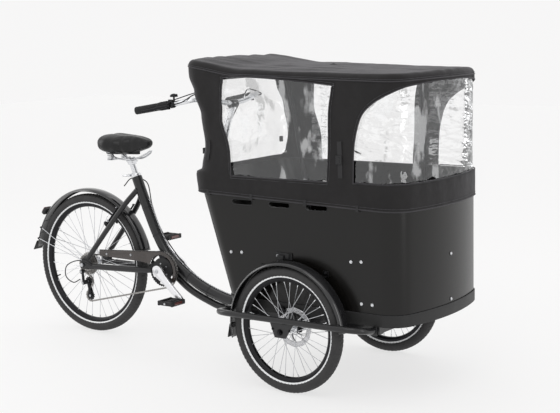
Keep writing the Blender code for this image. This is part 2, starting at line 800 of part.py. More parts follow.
def saddle_shell():
    outline, z = saddle_outline(0.90, saddle_place().z + 0.070)
    place = Matrix.Translation((0, 0, z))
    keep("saddle_shell", plate([outline], 0.008, place), BLACK_PLASTIC, "seatpost")


def saddle_pad():
    outline, z = saddle_outline(1.0, saddle_place().z + 0.0745)
    lower = plate([outline], 0.060, Matrix.Translation((0, 0, z + 0.0303)))
    keep("saddle_pad", lower, SADDLE_COVER, "seatpost")


# ---------------------------------------------------------------- front frame and box


def front_subframe():
    rail_z = RAIL_LOW + 0.0145
    pieces = []
    for side in (1, -1):
        pieces.append(block((FRONT_X + 0.0125, side * 0.305, rail_z), (0.745, 0.029, 0.029)))
        outline = [
            (FRONT_X - 0.045, RAIL_LOW + 0.012),
            (FRONT_X - 0.022, 0.232),
            (FRONT_X + 0.022, 0.232),
            (FRONT_X + 0.045, RAIL_LOW + 0.012),
        ]
        hole = circle((FRONT_X, FRONT_RADIUS), AXLE_RADIUS + GAP, 12)
        place = Matrix.Translation((0, side * 0.317, 0)) @ IN_XZ
        pieces.append(plate([outline, hole], 0.005, place))
    for x in (FRONT_X - 0.335, KINGPIN_X, FRONT_X + 0.10, FRONT_X + 0.36):
        pieces.append(block((x, 0, rail_z + 0.0004), (0.040, 0.60, 0.0282)))
    keep("front_subframe", united(*pieces), BLACK_PAINT, "front_module")


def kingpin():
    foot = Vector((KINGPIN_X, 0, HEAD_LOW - 0.016))
    pin = cylinder(foot, (KINGPIN_X, 0, RAIL_LOW - GAP), KINGPIN_RADIUS, 20)
    nut = cylinder(foot, foot + UP * 0.0157, 0.022, 6)
    keep("kingpin", united(pin, nut), STEEL, "front_module")


def headset_bearing():
    height = RAIL_LOW - HEAD_HIGH - 2 * GAP
    ring = [(0.030, height), (0.030, 0), (HEAD_BORE, 0), (HEAD_BORE, height)]
    keep("headset_bearing", turned(ring, (KINGPIN_X, 0, HEAD_HIGH + GAP), UP, 20), STEEL)


def guard_rail(side):
    """The tube round the outside of a wheel, with the plate and the axle that carry the wheel."""
    name = "guard_rail_left" if side > 0 else "guard_rail_right"
    z = 0.300
    x = FRONT_X
    path = [
        Vector((x - 0.340, 0.3195 + GAP, z - 0.016)),
        Vector((x - 0.340, 0.340, z - 0.016)),
        Vector((x - 0.334, 0.392, z - 0.006)),
        Vector((x - 0.290, 0.4305, z)),
        Vector((x + 0.310, 0.4305, z)),
        Vector((x + 0.356, 0.392, z - 0.006)),
        Vector((x + 0.362, 0.340, z - 0.016)),
        Vector((x + 0.362, 0.3195 + GAP, z - 0.016)),
    ]
    rail = tube([mirrored(p, side) for p in path], 0.0125, 3)
    outline = [
        (x - 0.050, z - 0.004),
        (x - 0.026, 0.230),
        (x + 0.026, 0.230),
        (x + 0.066, z - 0.004),
    ]
    plate_y = side * 0.4305
    hanger = plate([outline], 0.006, Matrix.Translation((0, plate_y, 0)) @ IN_XZ)
    inner = HALF_TRACK - 0.066
    axle = cylinder((x, side * inner, FRONT_RADIUS), (x, side * 0.446, FRONT_RADIUS), AXLE_RADIUS - 0.0002, 12)
    nut = cylinder((x, side * 0.431, FRONT_RADIUS), (x, side * 0.442, FRONT_RADIUS), 0.011, 6)
    keep(name, united(rail, hanger, axle, nut), BLACK_PAINT, "front_module")


def front_fender(side):
    name = "front_fender_left" if side > 0 else "front_fender_right"
    centre = Vector((FRONT_X, side * HALF_TRACK, FRONT_RADIUS))
    arch = [(0.262, 0.0315), (0.271, 0.022), (0.274, 0.0), (0.271, -0.022), (0.262, -0.0315)]
    shell = turned(arch, centre, steps=20, sweep=-189.0, first=-4.0, thickness=0.002)
    keep(name, shell, GLOSS_PLASTIC, "front_module")


def box_outline(rear, grow=0.0, corner_steps=4, bow_steps=6):
    """Plan of the box, anticlockwise from the middle of the bowed front.

    rear is the X of its straight back, and grow moves the whole outline outward.
    """
    bow = FRONT_BOW_RADIUS
    corner = FRONT_CORNER_RADIUS
    half = BOX_HALF_WIDTH
    bow_centre = BOX_FRONT - bow
    corner_y = half - corner
    corner_x = bow_centre + math.sqrt((bow - corner) ** 2 - corner_y**2)
    lean = math.degrees(math.atan2(corner_y, corner_x - bow_centre))
    back = REAR_CORNER_RADIUS
    left = arc((bow_centre, 0), bow + grow, 0, lean, bow_steps // 2)[:-1]
    left += arc((corner_x, corner_y), corner + grow, lean, 90, corner_steps)
    left += arc((rear + back, half - back), back + grow, 90, 180, corner_steps)
    right = [(x, -y) for x, y in reversed(left)]
    return left + right[:-1]


def rear_at(z):
    """X of the box's leaning back at a height."""
    return BOX_REAR_LOW + (BOX_REAR_HIGH - BOX_REAR_LOW) * (z - BOX_LOW) / (BOX_HIGH - BOX_LOW)


def lofted(sections, thickness, cap=None):
    """A shell through outlines of equal length, as (outline, heights). A cap height function closes the top."""
    bm = bmesh.new()
    rings = []
    for outline, heights in sections:
        rings.append([bm.verts.new((x, y, heights(x, y))) for x, y in outline])
    for low, high in zip(rings, rings[1:]):
        for i in range(len(low)):
            j = (i + 1) % len(low)
            bm.faces.new((low[i], low[j], high[j], high[i]))
    if cap:
        top = sections[-1][0]
        last = rings[-1]
        for share in (0.72, 0.36):
            inner = []
            for vert, (x, y) in zip(last, top):
                point = (x * share + cap[0] * (1 - share), y * share)
                inner.append(bm.verts.new((*point, cap[1](*point))))
            for i in range(len(inner)):
                j = (i + 1) % len(inner)
                bm.faces.new((last[i], last[j], inner[j], inner[i]))
            last = inner
            top = [(v.co.x, v.co.y) for v in inner]
        middle = bm.verts.new((cap[0], 0, cap[1](cap[0], 0)))
        for i in range(len(last)):
            bm.faces.new((last[i], last[(i + 1) % len(last)], middle))
    obj = solid_from(bm)
    shell = obj.modifiers.new("thickness", "SOLIDIFY")
    shell.thickness = thickness
    shell.offset = -1
    shell.use_even_offset = True
    flat_faces = obj.modifiers.new("triangles", "TRIANGULATE")
    flat_faces.min_vertices = 4
    return baked(obj)


def flat(z):
    return lambda x, y: z


def box_wall():
    wall = lofted(
        [
            (box_outline(BOX_REAR_LOW), flat(BOX_LOW)),
            (box_outline(BOX_REAR_HIGH), flat(BOX_HIGH)),
        ],
        BOX_WALL,
    )
    slots = []
    for start in SLOT_STARTS:
        a = (FRONT_X + start + SLOT_HEIGHT / 2, SLOT_Z)
        b = (FRONT_X + start + SLOT_LENGTH - SLOT_HEIGHT / 2, SLOT_Z)
        slots.append(plate([stadium(a, b, SLOT_HEIGHT / 2, 4)], 1.0, IN_XZ))
    keep("box_wall", cut(wall, *slots), BOX_PANEL, "front_module")


def box_floor():
    """The floor plate, with a tread inside the wall and a raised band round its edge that holds the wall."""
    floor = plate([box_outline(BOX_REAR_LOW, 0.002)], 0.012, Matrix.Translation((0, 0, FLOOR_LOW + 0.006)))
    tread_high = FLOOR_LOW + FLOOR_TREAD_HIGH
    tread = plate([box_outline(BOX_REAR_LOW, -BOX_WALL - 0.004)], 0.004, Matrix.Translation((0, 0, tread_high - 0.002)))
    heights = (FLOOR_LOW + 0.005, BAND_HIGH)
    band = lofted([(box_outline(rear_at(z), 0.0045), flat(z)) for z in heights], 0.004)
    keep("box_floor", united(floor, tread, band), BOX_BASE, "front_module")


def bench():
    """A seat board across the back of the box, with its corners rounded to follow the wall."""
    back, front = FRONT_X - 0.398, FRONT_X - 0.130
    half = BOX_HALF_WIDTH - BOX_WALL - 0.002
    corner = REAR_CORNER_RADIUS - BOX_WALL + 0.002
    left = [(front, half), *arc((back + corner, half - corner), corner, 90, 180, 4)]
    right = [(x, -y) for x, y in reversed(left)]
    board = plate([left + right], 0.012, Matrix.Translation((0, 0, 0.530)))
    keep("bench", board, BOX_PANEL, "front_module")


# ---------------------------------------------------------------- canopy


def fold_z(x):
    """Height of the fold between a side and the roof, which rises towards the back."""
    share = (FRONT_X - x - ROOF_REAR_STARTS) / (ROOF_REAR_ENDS - ROOF_REAR_STARTS)
    share = max(0.0, min(1.0, share))
    return ROOF_FOLD_Z + ROOF_SLOPE * (x - FRONT_X) + ROOF_REAR_LIFT * share * share * (3 - 2 * share)


def roof_z(x, y):
    return fold_z(x) + ROOF_CROWN * (1 - (y / BOX_HALF_WIDTH) ** 2)


def skirt_z(x, y):
    """Height of the cover's hem over the outside of the box."""
    return SKIRT_LOW + SKIRT_SLOPE * (x - FRONT_X)


def canopy_sections():
    grow = CANOPY_GAP + CANOPY_WALL
    x = FRONT_X
    levels = [
        (rear_at(SKIRT_HIGH), SKIRT_HIGH, grow),
        (x - 0.480, 0.875, grow),
        (x - 0.468, 0.960, grow - 0.001),
        (x - 0.485, 1.080, grow - 0.002),
        (x - 0.520, 1.170, grow - 0.002),
    ]
    hem_rear = rear_at(skirt_z(BOX_REAR_HIGH, 0))
    sections = [(box_outline(hem_rear, grow), skirt_z)]
    sections += [(box_outline(rear, g), flat(z)) for rear, z, g in levels]
    sections.append((box_outline(x - 0.545, grow), lambda px, py: fold_z(px) - 0.030))
    sections.append((box_outline(x - 0.545, grow), lambda px, py: fold_z(px) - 0.008))
    sections.append((box_outline(x - 0.535, grow - 0.012), lambda px, py: fold_z(px)))
    return sections


def canopy_cover():
    """The sewn roof, its four posts and the skirt over the box's rim, with its four window openings."""
    x = FRONT_X
    cover = lofted(canopy_sections(), CANOPY_WALL, (x, roof_z))
    side_window = [
        (x - 0.300, 0.846),
        (x + 0.163, 0.846),
        (x + 0.172, 0.970),
        (x + 0.174, 1.110),
        (x + 0.190, 1.211),
        (x - 0.110, 1.234),
        (x - 0.310, 1.238),
        (x - 0.336, 1.213),
        (x - 0.338, 1.060),
        (x - 0.305, 0.960),
    ]
    front_window = [
        (x + 0.282, 0.846),
        (x + 0.287, 0.970),
        (x + 0.302, 1.047),
        (x + 0.322, 1.098),
        (x + 0.350, 1.130),
        (x + 0.390, 1.158),
        (x + 0.440, 1.184),
        (x + 0.480, 1.205),
        (x + 0.620, 1.221),
        (x + 0.620, 0.846),
    ]
    rear_window = [(-0.235, 0.860), (0.235, 0.860), (0.225, 1.210), (-0.225, 1.210)]
    cover = cut(
        cover,
        plate([side_window], 1.0, IN_XZ),
        plate([front_window], 1.0, IN_XZ),
        plate([rear_window], 0.30, Matrix.Translation((x - 0.50, 0, 0)) @ IN_YZ),
    )
    keep("canopy_cover", cover, CANOPY_FABRIC, "front_module")


def canopy_frame():
    """Two bent hoops that stand inside the box wall, joined by a ridge tube under the roof."""
    hoops = []
    for foot_x, rim_x, top_x in ((-0.345, -0.395, -0.470), (0.225, 0.225, 0.225)):
        top_z = fold_z(FRONT_X + top_x) - 0.020
        half = [
            Vector((FRONT_X + foot_x, 0.302, 0.600)),
            Vector((FRONT_X + rim_x, 0.302, 0.860)),
            Vector((FRONT_X + (rim_x + top_x) / 2, 0.300, 1.080)),
            Vector((FRONT_X + top_x, 0.300, top_z - 0.045)),
            Vector((FRONT_X + top_x, 0.275, top_z - 0.012)),
            Vector((FRONT_X + top_x, 0.230, top_z)),
        ]
        path = half + [mirrored(p, -1) for p in reversed(half)]
        hoops.append(tube(path, 0.008, 2))
    rear_top = Vector((FRONT_X - 0.470, 0, fold_z(FRONT_X - 0.470) - 0.020))
    front_top = Vector((FRONT_X + 0.225, 0, fold_z(FRONT_X + 0.225) - 0.020))
    ridge = tube([rear_top, front_top, front_top + Vector((0.230, 0, -0.022))], 0.007, 2)
    keep("canopy_frame", united(hoops[0], hoops[1], ridge), BLACK_ALLOY, "front_module")


def side_pane(side):
    name = "window_left" if side > 0 else "window_right"
    x = FRONT_X
    outline = [
        (x - 0.345, SKIRT_HIGH - 0.003),
        (x + 0.200, SKIRT_HIGH - 0.003),
        (x + 0.200, 1.220),
        (x - 0.345, 1.248),
    ]
    place = Matrix.Translation((0, side * (BOX_HALF_WIDTH - 0.0020), 0)) @ IN_XZ
    keep(name, plate([outline], PANE, place), CLEAR_FILM, "front_module")


def front_pane():
    """One sheet of film bends round the front, from post to post."""
    shift = -0.0020
    outside = box_outline(BOX_REAR_HIGH, shift + PANE / 2)
    inside = box_outline(BOX_REAR_HIGH, shift - PANE / 2)
    keep_back = FRONT_X + 0.240
    front = [p for p in outside if p[0] > keep_back]
    left_out = [p for p in front if p[1] >= 0]
    right_out = [p for p in front if p[1] < 0]
    left_in = [p for p in inside if p[0] > keep_back and p[1] >= 0]
    right_in = [p for p in inside if p[0] > keep_back and p[1] < 0]
    end_out, end_in = left_out[-1][1], left_in[-1][1]
    loop = right_out + left_out + [(keep_back, end_out), (keep_back, end_in)]
    loop += left_in[::-1] + right_in[::-1] + [(keep_back, -end_in), (keep_back, -end_out)]
    low = SKIRT_HIGH - 0.003
    high = 1.228
    place = Matrix.Translation((0, 0, (low + high) / 2))
    keep("window_front", plate([loop], high - low, place), CLEAR_FILM, "front_module")


def rear_pane():
    x = FRONT_X
    spine = [(x - 0.4660, 0.850), (x - 0.4570, 0.960), (x - 0.4740, 1.080), (x - 0.5080, 1.170), (x - 0.5260, 1.222)]
    outline = spine + [(px + PANE, pz) for px, pz in reversed(spine)]
    keep("window_rear", plate([outline], 0.50, IN_XZ), CLEAR_FILM, "front_module")


# ---------------------------------------------------------------- handlebar

BAR_MIDDLE = Vector((FRONT_X - 0.535, 0, 1.105))
GRIP_FRONT = Vector((FRONT_X - 0.660, 0.270, 1.115))
GRIP_END = Vector((FRONT_X - 0.805, 0.315, 1.090))


def bar_half():
    """The left half of the bar, from its middle to its end."""
    x = FRONT_X
    return [
        BAR_MIDDLE,
        Vector((x - 0.528, 0.060, 1.112)),
        Vector((x - 0.530, 0.140, 1.128)),
        Vector((x - 0.562, 0.210, 1.134)),
        Vector((x - 0.615, 0.252, 1.124)),
        GRIP_FRONT,
        GRIP_END,
    ]


def handlebar():
    """The riser behind the box and the bar across its top are one welded piece."""
    left = smooth_path(bar_half()[1:6], 2) + [GRIP_END]
    right = [mirrored(p, -1) for p in reversed(left)]
    bar = tube(right + [BAR_MIDDLE] + left, BAR_RADIUS, 2)
    x = FRONT_X
    riser = tube(
        smooth_path(
            [
                (x - 0.355 - 0.020, 0, 0.2820),
                (x - 0.425, 0, 0.370),
                (x - 0.540, 0, 0.730),
                (x - 0.583, 0, 0.880),
                (x - 0.580, 0, 0.970),
                BAR_MIDDLE,
            ],
            2,
        ),
        0.0150,
        2,
    )
    foot = block((x - 0.3705, 0, 0.2825), (0.030, 0.060, 0.028))
    keep("handlebar", united(riser, bar, foot), SILVER_ALLOY, "front_module")


def grip_axis(side):
    return (mirrored(GRIP_FRONT, side), mirrored(GRIP_END, side))


def ring_on_bar(side, first, last, radius, sides=16):
    """A sleeve on the straight end of the bar, between two distances along it."""
    front, end = grip_axis(side)
    heading = (end - front).normalized()
    length = last - first
    bore = BAR_RADIUS + 0.0004
    ring = [(radius, length), (radius, 0), (bore, 0), (bore, length)]
    return turned(ring, front + heading * first, heading, sides)


def grip(side):
    name = "grip_left" if side > 0 else "grip_right"
    front, end = grip_axis(side)
    length = (end - front).length
    first = 0.045 if side < 0 else 0.020
    bore = BAR_RADIUS + 0.0004
    sleeve = [
        (0, length + 0.006),
        (0.012, length + 0.006),
        (GRIP_RADIUS, length),
        (GRIP_RADIUS, first),
        (bore, first),
        (bore, length + 0.001),
        (0, length + 0.001),
    ]
    keep(name, turned(sleeve, front, (end - front).normalized(), 16), GRIP_RUBBER, "front_module")


def twist_shifter():
    keep("twist_shifter", ring_on_bar(-1, 0.008, 0.0445, 0.0185, 18), GRIP_RUBBER, "twist_shifter")


def lever_pivot(side):
    front, end = grip_axis(side)
    heading = (end - front).normalized()
    return front - heading * 0.012 + Vector((0, side * 0.026, -0.004))


def brake_lever(side):
    """A blade outside the grip, which is pulled in towards it."""
    name = "brake_lever_left" if side > 0 else "brake_lever_right"
    front, end = grip_axis(side)
    heading = (end - front).normalized()
    pivot = lever_pivot(side)
    outward = LEFT * side
    blade = tube(
        smooth_path(
            [
                pivot,
                pivot + heading * 0.030 + outward * 0.012 - UP * 0.003,
                pivot + heading * 0.080 + outward * 0.012 - UP * 0.006,
                pivot + heading * 0.112 + outward * 0.018 - UP * 0.006,
            ],
            2,
        ),
        0.0048,
        2,
    )
    hub = cylinder(pivot - UP * 0.0068, pivot + UP * 0.0068, 0.0075, 14)
    keep(name, united(hub, blade), BLACK_ALLOY, name)


def bell():
    front, end = grip_axis(-1)
    heading = (end - front).normalized()
    centre = front - heading * 0.020 + Vector((0, 0, 0.030))
    dome = [(0, 0.014), (0.010, 0.012), (0.016, 0.006), (0.017, 0.0), (0, 0)]
    keep("bell", turned(dome, centre, UP, 18), BLACK_ALLOY, "front_module")


def rear_brake_cable():
    """The outer cable runs along the boom and up to the brake."""
    x = FRONT_X
    path = smooth_path(
        [
            (x - 0.300, 0.034, 0.2080),
            (x - 0.560, 0.0345, 0.2250),
            (x - 0.693, 0.0345, 0.2600),
            (x - 0.870, 0.0345, 0.3700),
            (x - 0.988, 0.0345, 0.5000),
            (x - 1.045, 0.0345, 0.6200),
            (x - 1.085, 0.0480, 0.7250),
            (x - 1.150, 0.0200, 0.7450),
            (x - 1.175, -0.0100, 0.7100),
        ],
        4,
    )
    keep("rear_brake_cable", tube(path, 0.0025, 1), BLACK_PLASTIC)


# ---------------------------------------------------------------- the whole machine


def build_bodies():
    root = new_body("rear_frame", (0, 0, 0))
    front = new_body("front_module", (KINGPIN_X, 0, HEAD_HIGH), root)
    for side, name in ((1, "left"), (-1, "right")):
        new_body("front_wheel_" + name, (FRONT_X, side * HALF_TRACK, FRONT_RADIUS), front)
        new_body("brake_lever_" + name, lever_pivot(side), front)
        new_body("rear_brake_arm_" + name, boss_root(side), root)
    new_body("rear_wheel", (REAR_X, 0, REAR_RADIUS), root)
    new_body("cassette", (REAR_X, 0, REAR_RADIUS), root)
    crank = new_body("crank", CRANK_CENTRE, root)
    new_body("pedal_left", pedal_centre(1), crank)
    new_body("pedal_right", pedal_centre(-1), crank)
    cage = new_body("derailleur_cage", GUIDE_PULLEY, root)
    new_body("guide_pulley", GUIDE_PULLEY, cage)
    new_body("tension_pulley", TENSION_PULLEY, cage)
    new_body("seatpost", SEAT_TUBE_TOP, root)
    new_body("seat_clamp_lever", CLAMP_PIVOT, root)
    new_body("twist_shifter", grip_axis(-1)[0], front)


def build():
    build_bodies()
    rear_frame()
    seat_clamp()
    seat_clamp_lever()
    rear_axle()
    rear_fender()
    rear_fender_stay()
    tail_light()
    wheel("rear", Vector((REAR_X, 0, REAR_RADIUS)), REAR_RADIUS, "rear_wheel", 0.0250, 0.0205, 0.027)
    cassette()
    chain()
    chain_guard()
    chainring()
    derailleur_body()
    derailleur_cage()
    pulley("guide_pulley", GUIDE_PULLEY)
    pulley("tension_pulley", TENSION_PULLEY)
    rear_brake_cable()
    seatpost()
    saddle_rails()
    saddle_shell()
    saddle_pad()
    headset_bearing()
    kingpin()
    front_subframe()
    box_floor()
    box_wall()
    bench()
    canopy_frame()
    canopy_cover()
    front_pane()
    rear_pane()
    handlebar()
    twist_shifter()
    bell()
    for side, name in ((1, "left"), (-1, "right")):
        crank_arm(side)
        pedal(side)
        brake_arm(side)
        guard_rail(side)
        front_fender(side)
        side_pane(side)
        grip(side)
        brake_lever(side)
        centre = Vector((FRONT_X, side * HALF_TRACK, FRONT_RADIUS))
        body = "front_wheel_" + name
        wheel("front_" + name, centre, FRONT_RADIUS, body, FRONT_HUB_HALF, 0.030, 0.022)
        brake_rotor("brake_rotor_" + name, centre - LEFT * side * 0.043, body)


build()
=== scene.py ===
"""Looks of the cargo tricycle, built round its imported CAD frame.

Metres, +X forward, +Y the rider's left, +Z up.
"""

import json
import math

import bmesh
import bpy
from mathutils import Matrix, Vector, noise


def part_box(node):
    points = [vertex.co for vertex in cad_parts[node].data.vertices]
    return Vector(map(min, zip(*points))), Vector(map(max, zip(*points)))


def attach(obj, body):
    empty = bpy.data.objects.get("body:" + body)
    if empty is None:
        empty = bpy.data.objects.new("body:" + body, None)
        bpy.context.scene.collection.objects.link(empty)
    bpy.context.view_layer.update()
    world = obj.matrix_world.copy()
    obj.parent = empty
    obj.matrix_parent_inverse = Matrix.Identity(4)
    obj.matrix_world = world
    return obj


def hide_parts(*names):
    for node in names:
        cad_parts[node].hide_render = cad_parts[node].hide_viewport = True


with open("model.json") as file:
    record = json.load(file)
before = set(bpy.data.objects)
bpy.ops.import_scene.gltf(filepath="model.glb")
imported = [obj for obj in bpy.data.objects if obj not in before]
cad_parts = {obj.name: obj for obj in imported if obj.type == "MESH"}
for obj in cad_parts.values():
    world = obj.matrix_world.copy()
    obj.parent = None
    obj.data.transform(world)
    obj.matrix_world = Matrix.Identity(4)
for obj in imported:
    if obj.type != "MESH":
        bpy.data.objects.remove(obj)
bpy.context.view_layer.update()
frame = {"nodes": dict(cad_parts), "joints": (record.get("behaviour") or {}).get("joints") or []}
JOINTS = {joint["name"]: joint for joint in frame["joints"]}

UP = Vector((0, 0, 1))
LEFT = Vector((0, 1, 0))
FORWARD = Vector((1, 0, 0))
SIDES = ((1, "left"), (-1, "right"))


def middle(node):
    low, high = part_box(node)
    return (low + high) / 2


def pivot(joint):
    return Vector(JOINTS[joint]["pos_m"])


FRONT_X = middle("front_right_tyre").x
HALF_TRACK = middle("front_left_tyre").y
FRONT_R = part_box("front_right_tyre")[1].z / 2
REAR_X = middle("rear_tyre").x
REAR_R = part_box("rear_tyre")[1].z / 2
CRANK = pivot("crank_turn")
KINGPIN_X = pivot("steering").x
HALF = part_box("box_wall")[1].y
BOX_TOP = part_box("box_wall")[1].z
BOX_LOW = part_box("box_wall")[0].z


def at(x, y, z):
    """A point given from the front axle's X."""
    return Vector((FRONT_X + x, y, z))


def flip(vector, side):
    return Vector((vector.x, vector.y * side, vector.z))


# ---------------------------------------------------------------- camera and light


def make_camera():
    """The photograph's view, solved from the wheels and the box."""
    yaw, pitch, roll = 0.6238445, 0.1466576, -0.0227154
    right = Vector((math.cos(yaw), math.sin(yaw), 0))
    back = Vector((math.sin(yaw) * math.cos(pitch), -math.cos(yaw) * math.cos(pitch), math.sin(pitch)))
    over = back.cross(right)
    x_axis = math.cos(roll) * right + math.sin(roll) * over
    y_axis = -math.sin(roll) * right + math.cos(roll) * over
    data = bpy.data.cameras.new("camera")
    data.sensor_width = 36.0
    data.lens = 84.53
    data.clip_end = 60
    camera = bpy.data.objects.new("camera", data)
    place = Matrix((x_axis, y_axis, back)).transposed().to_4x4()
    place.translation = at(2.92929, -4.48303, 1.48837)
    camera.matrix_world = place
    bpy.context.scene.collection.objects.link(camera)
    bpy.context.scene.camera = camera


def area_light(name, place, target, size, power):
    data = bpy.data.lights.new(name, "AREA")
    data.shape = "RECTANGLE"
    data.size, data.size_y = size
    data.energy = power
    light = bpy.data.objects.new(name, data)
    light.location = place
    light.rotation_euler = (Vector(target) - Vector(place)).to_track_quat("-Z", "Y").to_euler()
    bpy.context.scene.collection.objects.link(light)


def make_studio():
    world = bpy.data.worlds.new("studio")
    world.use_nodes = True
    world.node_tree.nodes["Background"].inputs["Color"].default_value = (1.0, 0.995, 0.995, 1)
    world.node_tree.nodes["Background"].inputs["Strength"].default_value = 0.93
    bpy.context.scene.world = world
    bpy.context.scene.view_settings.view_transform = "Standard"
    area_light("key", (1.5, -3.2, 4.2), (0.1, 0, 0.6), (3.0, 2.0), 26)
    area_light("front_strip", (5.2, -0.9, 1.7), (0.9, 0, 0.6), (1.2, 3.0), 30)
    area_light("rear_strip", (-4.2, -1.6, 2.2), (-0.5, 0, 0.6), (1.2, 3.0), 26)
    area_light("top", (0, 1.0, 4.5), (0, 0, 0.5), (3.5, 3.5), 24)
    floor = bpy.data.meshes.new("floor")
    reach = 14.0
    corners = [(-reach, -reach, 0), (reach, -reach, 0), (reach, reach, 0), (-reach, reach, 0)]
    floor.from_pydata(corners, [], [(0, 1, 2, 3)])
    obj = bpy.data.objects.new("floor", floor)
    bpy.context.scene.collection.objects.link(obj)
    floor.materials.append(studio_floor())


# ---------------------------------------------------------------- materials


class Nodes:
    """A Principled material whose colour, roughness and bump come from procedural nodes."""

    def __init__(self, name, colour, roughness, metallic=0.0, **sockets):
        self.material = bpy.data.materials.new(name)
        self.material.use_nodes = True
        self.tree = self.material.node_tree
        self.shader = self.tree.nodes["Principled BSDF"]
        self.set("Base Color", (*colour, 1))
        self.set("Roughness", roughness)
        self.set("Metallic", metallic)
        for name, value in sockets.items():
            self.set(name.replace("_", " "), value)
        self.height = None

    def set(self, socket, value):
        self.shader.inputs[socket].default_value = value

    def node(self, kind, **inputs):
        made = self.tree.nodes.new(kind)
        for name, value in inputs.items():
            made.inputs[name.replace("_", " ")].default_value = value
        return made

    def link(self, source, target):
        self.tree.links.new(source, target)

    def place(self, stretch=(1, 1, 1)):
        """Object coordinates, stretched."""
        coordinates = self.tree.nodes.new("ShaderNodeTexCoord")
        mapping = self.node("ShaderNodeMapping", Scale=stretch)
        self.link(coordinates.outputs["Object"], mapping.inputs["Vector"])
        return mapping.outputs["Vector"]

    def noise(self, scale, detail=4.0, stretch=(1, 1, 1)):
        made = self.node("ShaderNodeTexNoise", Scale=scale, Detail=detail)
        self.link(self.place(stretch), made.inputs["Vector"])
        return made.outputs["Fac"]

    def wave(self, scale, direction, distortion=0.0):
        made = self.node("ShaderNodeTexWave", Scale=scale, Distortion=distortion)
        made.bands_direction = direction
        self.link(self.place(), made.inputs["Vector"])
        return made.outputs["Fac"]

    def spread(self, value, low, high):
        """Maps a 0 to 1 value to a range."""
        made = self.tree.nodes.new("ShaderNodeMapRange")
        made.inputs["To Min"].default_value = low
        made.inputs["To Max"].default_value = high
        self.link(value, made.inputs["Value"])
        return made.outputs["Result"]

    def vary_roughness(self, value, low, high):
        self.link(self.spread(value, low, high), self.shader.inputs["Roughness"])

    def vary_colour(self, value, dark, light):
        mix = self.tree.nodes.new("ShaderNodeMix")
        mix.data_type = "RGBA"
        mix.inputs[6].default_value = (*dark, 1)
        mix.inputs[7].default_value = (*light, 1)
        self.link(value, mix.inputs["Factor"])
        self.link(mix.outputs[2], self.shader.inputs["Base Color"])

    def bump(self, value, strength, distance):
        made = self.node("ShaderNodeBump", Strength=strength, Distance=distance)
        self.link(value, made.inputs["Height"])
        if self.height is not None:
            self.link(self.height, made.inputs["Normal"])
        self.height = made.outputs["Normal"]
        self.link(self.height, self.shader.inputs["Normal"])


def simple(name, colour, roughness, metallic=0.0, **sockets):
    made = Nodes(name, colour, roughness, metallic, **sockets)
    made.vary_roughness(made.noise(9.0), roughness * 0.85, min(1.0, roughness * 1.15))
    return made.material


def studio_floor():
    """Pale paper that glows a little, so that shadows stay soft."""
    made = Nodes(
        "studio_floor", (0.225, 0.225, 0.225), 0.7, Emission_Strength=0.685, Specular_IOR_Level=0.1,
    )
    made.set("Emission Color", (1.0, 0.997, 0.995, 1))
    return made.material


def paint(name, colour, roughness, coat):
    """Powder coat: a fine orange peel under a thin gloss, with faint handling marks."""
    made = Nodes(
        name, colour, roughness, 0.0, Coat_Weight=coat, Coat_Roughness=0.12, Specular_IOR_Level=0.25,
    )
    made.vary_roughness(made.noise(14.0, 6.0), roughness * 0.8, roughness * 1.25)
    made.bump(made.noise(900.0, 2.0), 0.12, 0.0004)
    return made.material


def moulded(name, colour, roughness, grain):
    made = Nodes(name, colour, roughness, 0.0, Specular_IOR_Level=0.3)
    made.vary_roughness(made.noise(20.0, 5.0), roughness * 0.85, roughness * 1.2)
    made.bump(made.noise(1400.0, 3.0), grain, 0.0005)
    return made.material


def metal(name, colour, roughness, stretch=(1, 1, 1), **sockets):
    """Brushed or polished metal, with marks that run one way."""
    made = Nodes(name, colour, roughness, 1.0, **sockets)
    marks = made.noise(160.0, 5.0, stretch)
    made.vary_roughness(marks, roughness * 0.75, roughness * 1.35)
    made.vary_colour(made.noise(30.0), tuple(c * 0.88 for c in colour), colour)
    made.bump(marks, 0.06, 0.0003)
    return made.material


def tyre_rubber():
    made = Nodes("tyre_rubber_worn", (0.022, 0.022, 0.023), 0.7)
    made.vary_colour(made.noise(22.0, 6.0), (0.016, 0.016, 0.017), (0.034, 0.033, 0.033))
    made.vary_roughness(made.noise(60.0), 0.6, 0.85)
    made.bump(made.noise(700.0), 0.25, 0.0006)
    return made.material


def box_laminate():
    """Smooth satin panel with a very fine grain and a slightly warm black."""
    made = Nodes("box_laminate", (0.004, 0.0036, 0.0032), 0.22, 0.0, Specular_IOR_Level=0.34)
    made.vary_colour(made.noise(5.0, 5.0), (0.0032, 0.0028, 0.0024), (0.0052, 0.0047, 0.0042))
    made.vary_roughness(made.noise(26.0, 6.0), 0.18, 0.25)
    made.bump(made.noise(1100.0, 2.0), 0.1, 0.0004)
    return made.material


def canopy_cloth(name, dark, light):
    """Coated woven cloth: warp and weft at 1.2 mm, a soft sheen and slow creases."""
    made = Nodes(name, light, 0.72, 0.0, Sheen_Weight=0.24, Sheen_Roughness=0.4, Specular_IOR_Level=0.2)
    made.set("Sheen Tint", (0.75, 0.74, 0.78, 1))
    made.vary_colour(made.noise(7.0, 6.0), dark, light)
    made.vary_roughness(made.noise(40.0), 0.62, 0.82)
    for direction in ("X", "Y", "Z"):
        made.bump(made.wave(260.0, direction, 0.3), 0.1, 0.0004)
    made.bump(made.noise(16.0, 5.0), 0.55, 0.005)
    return made.material


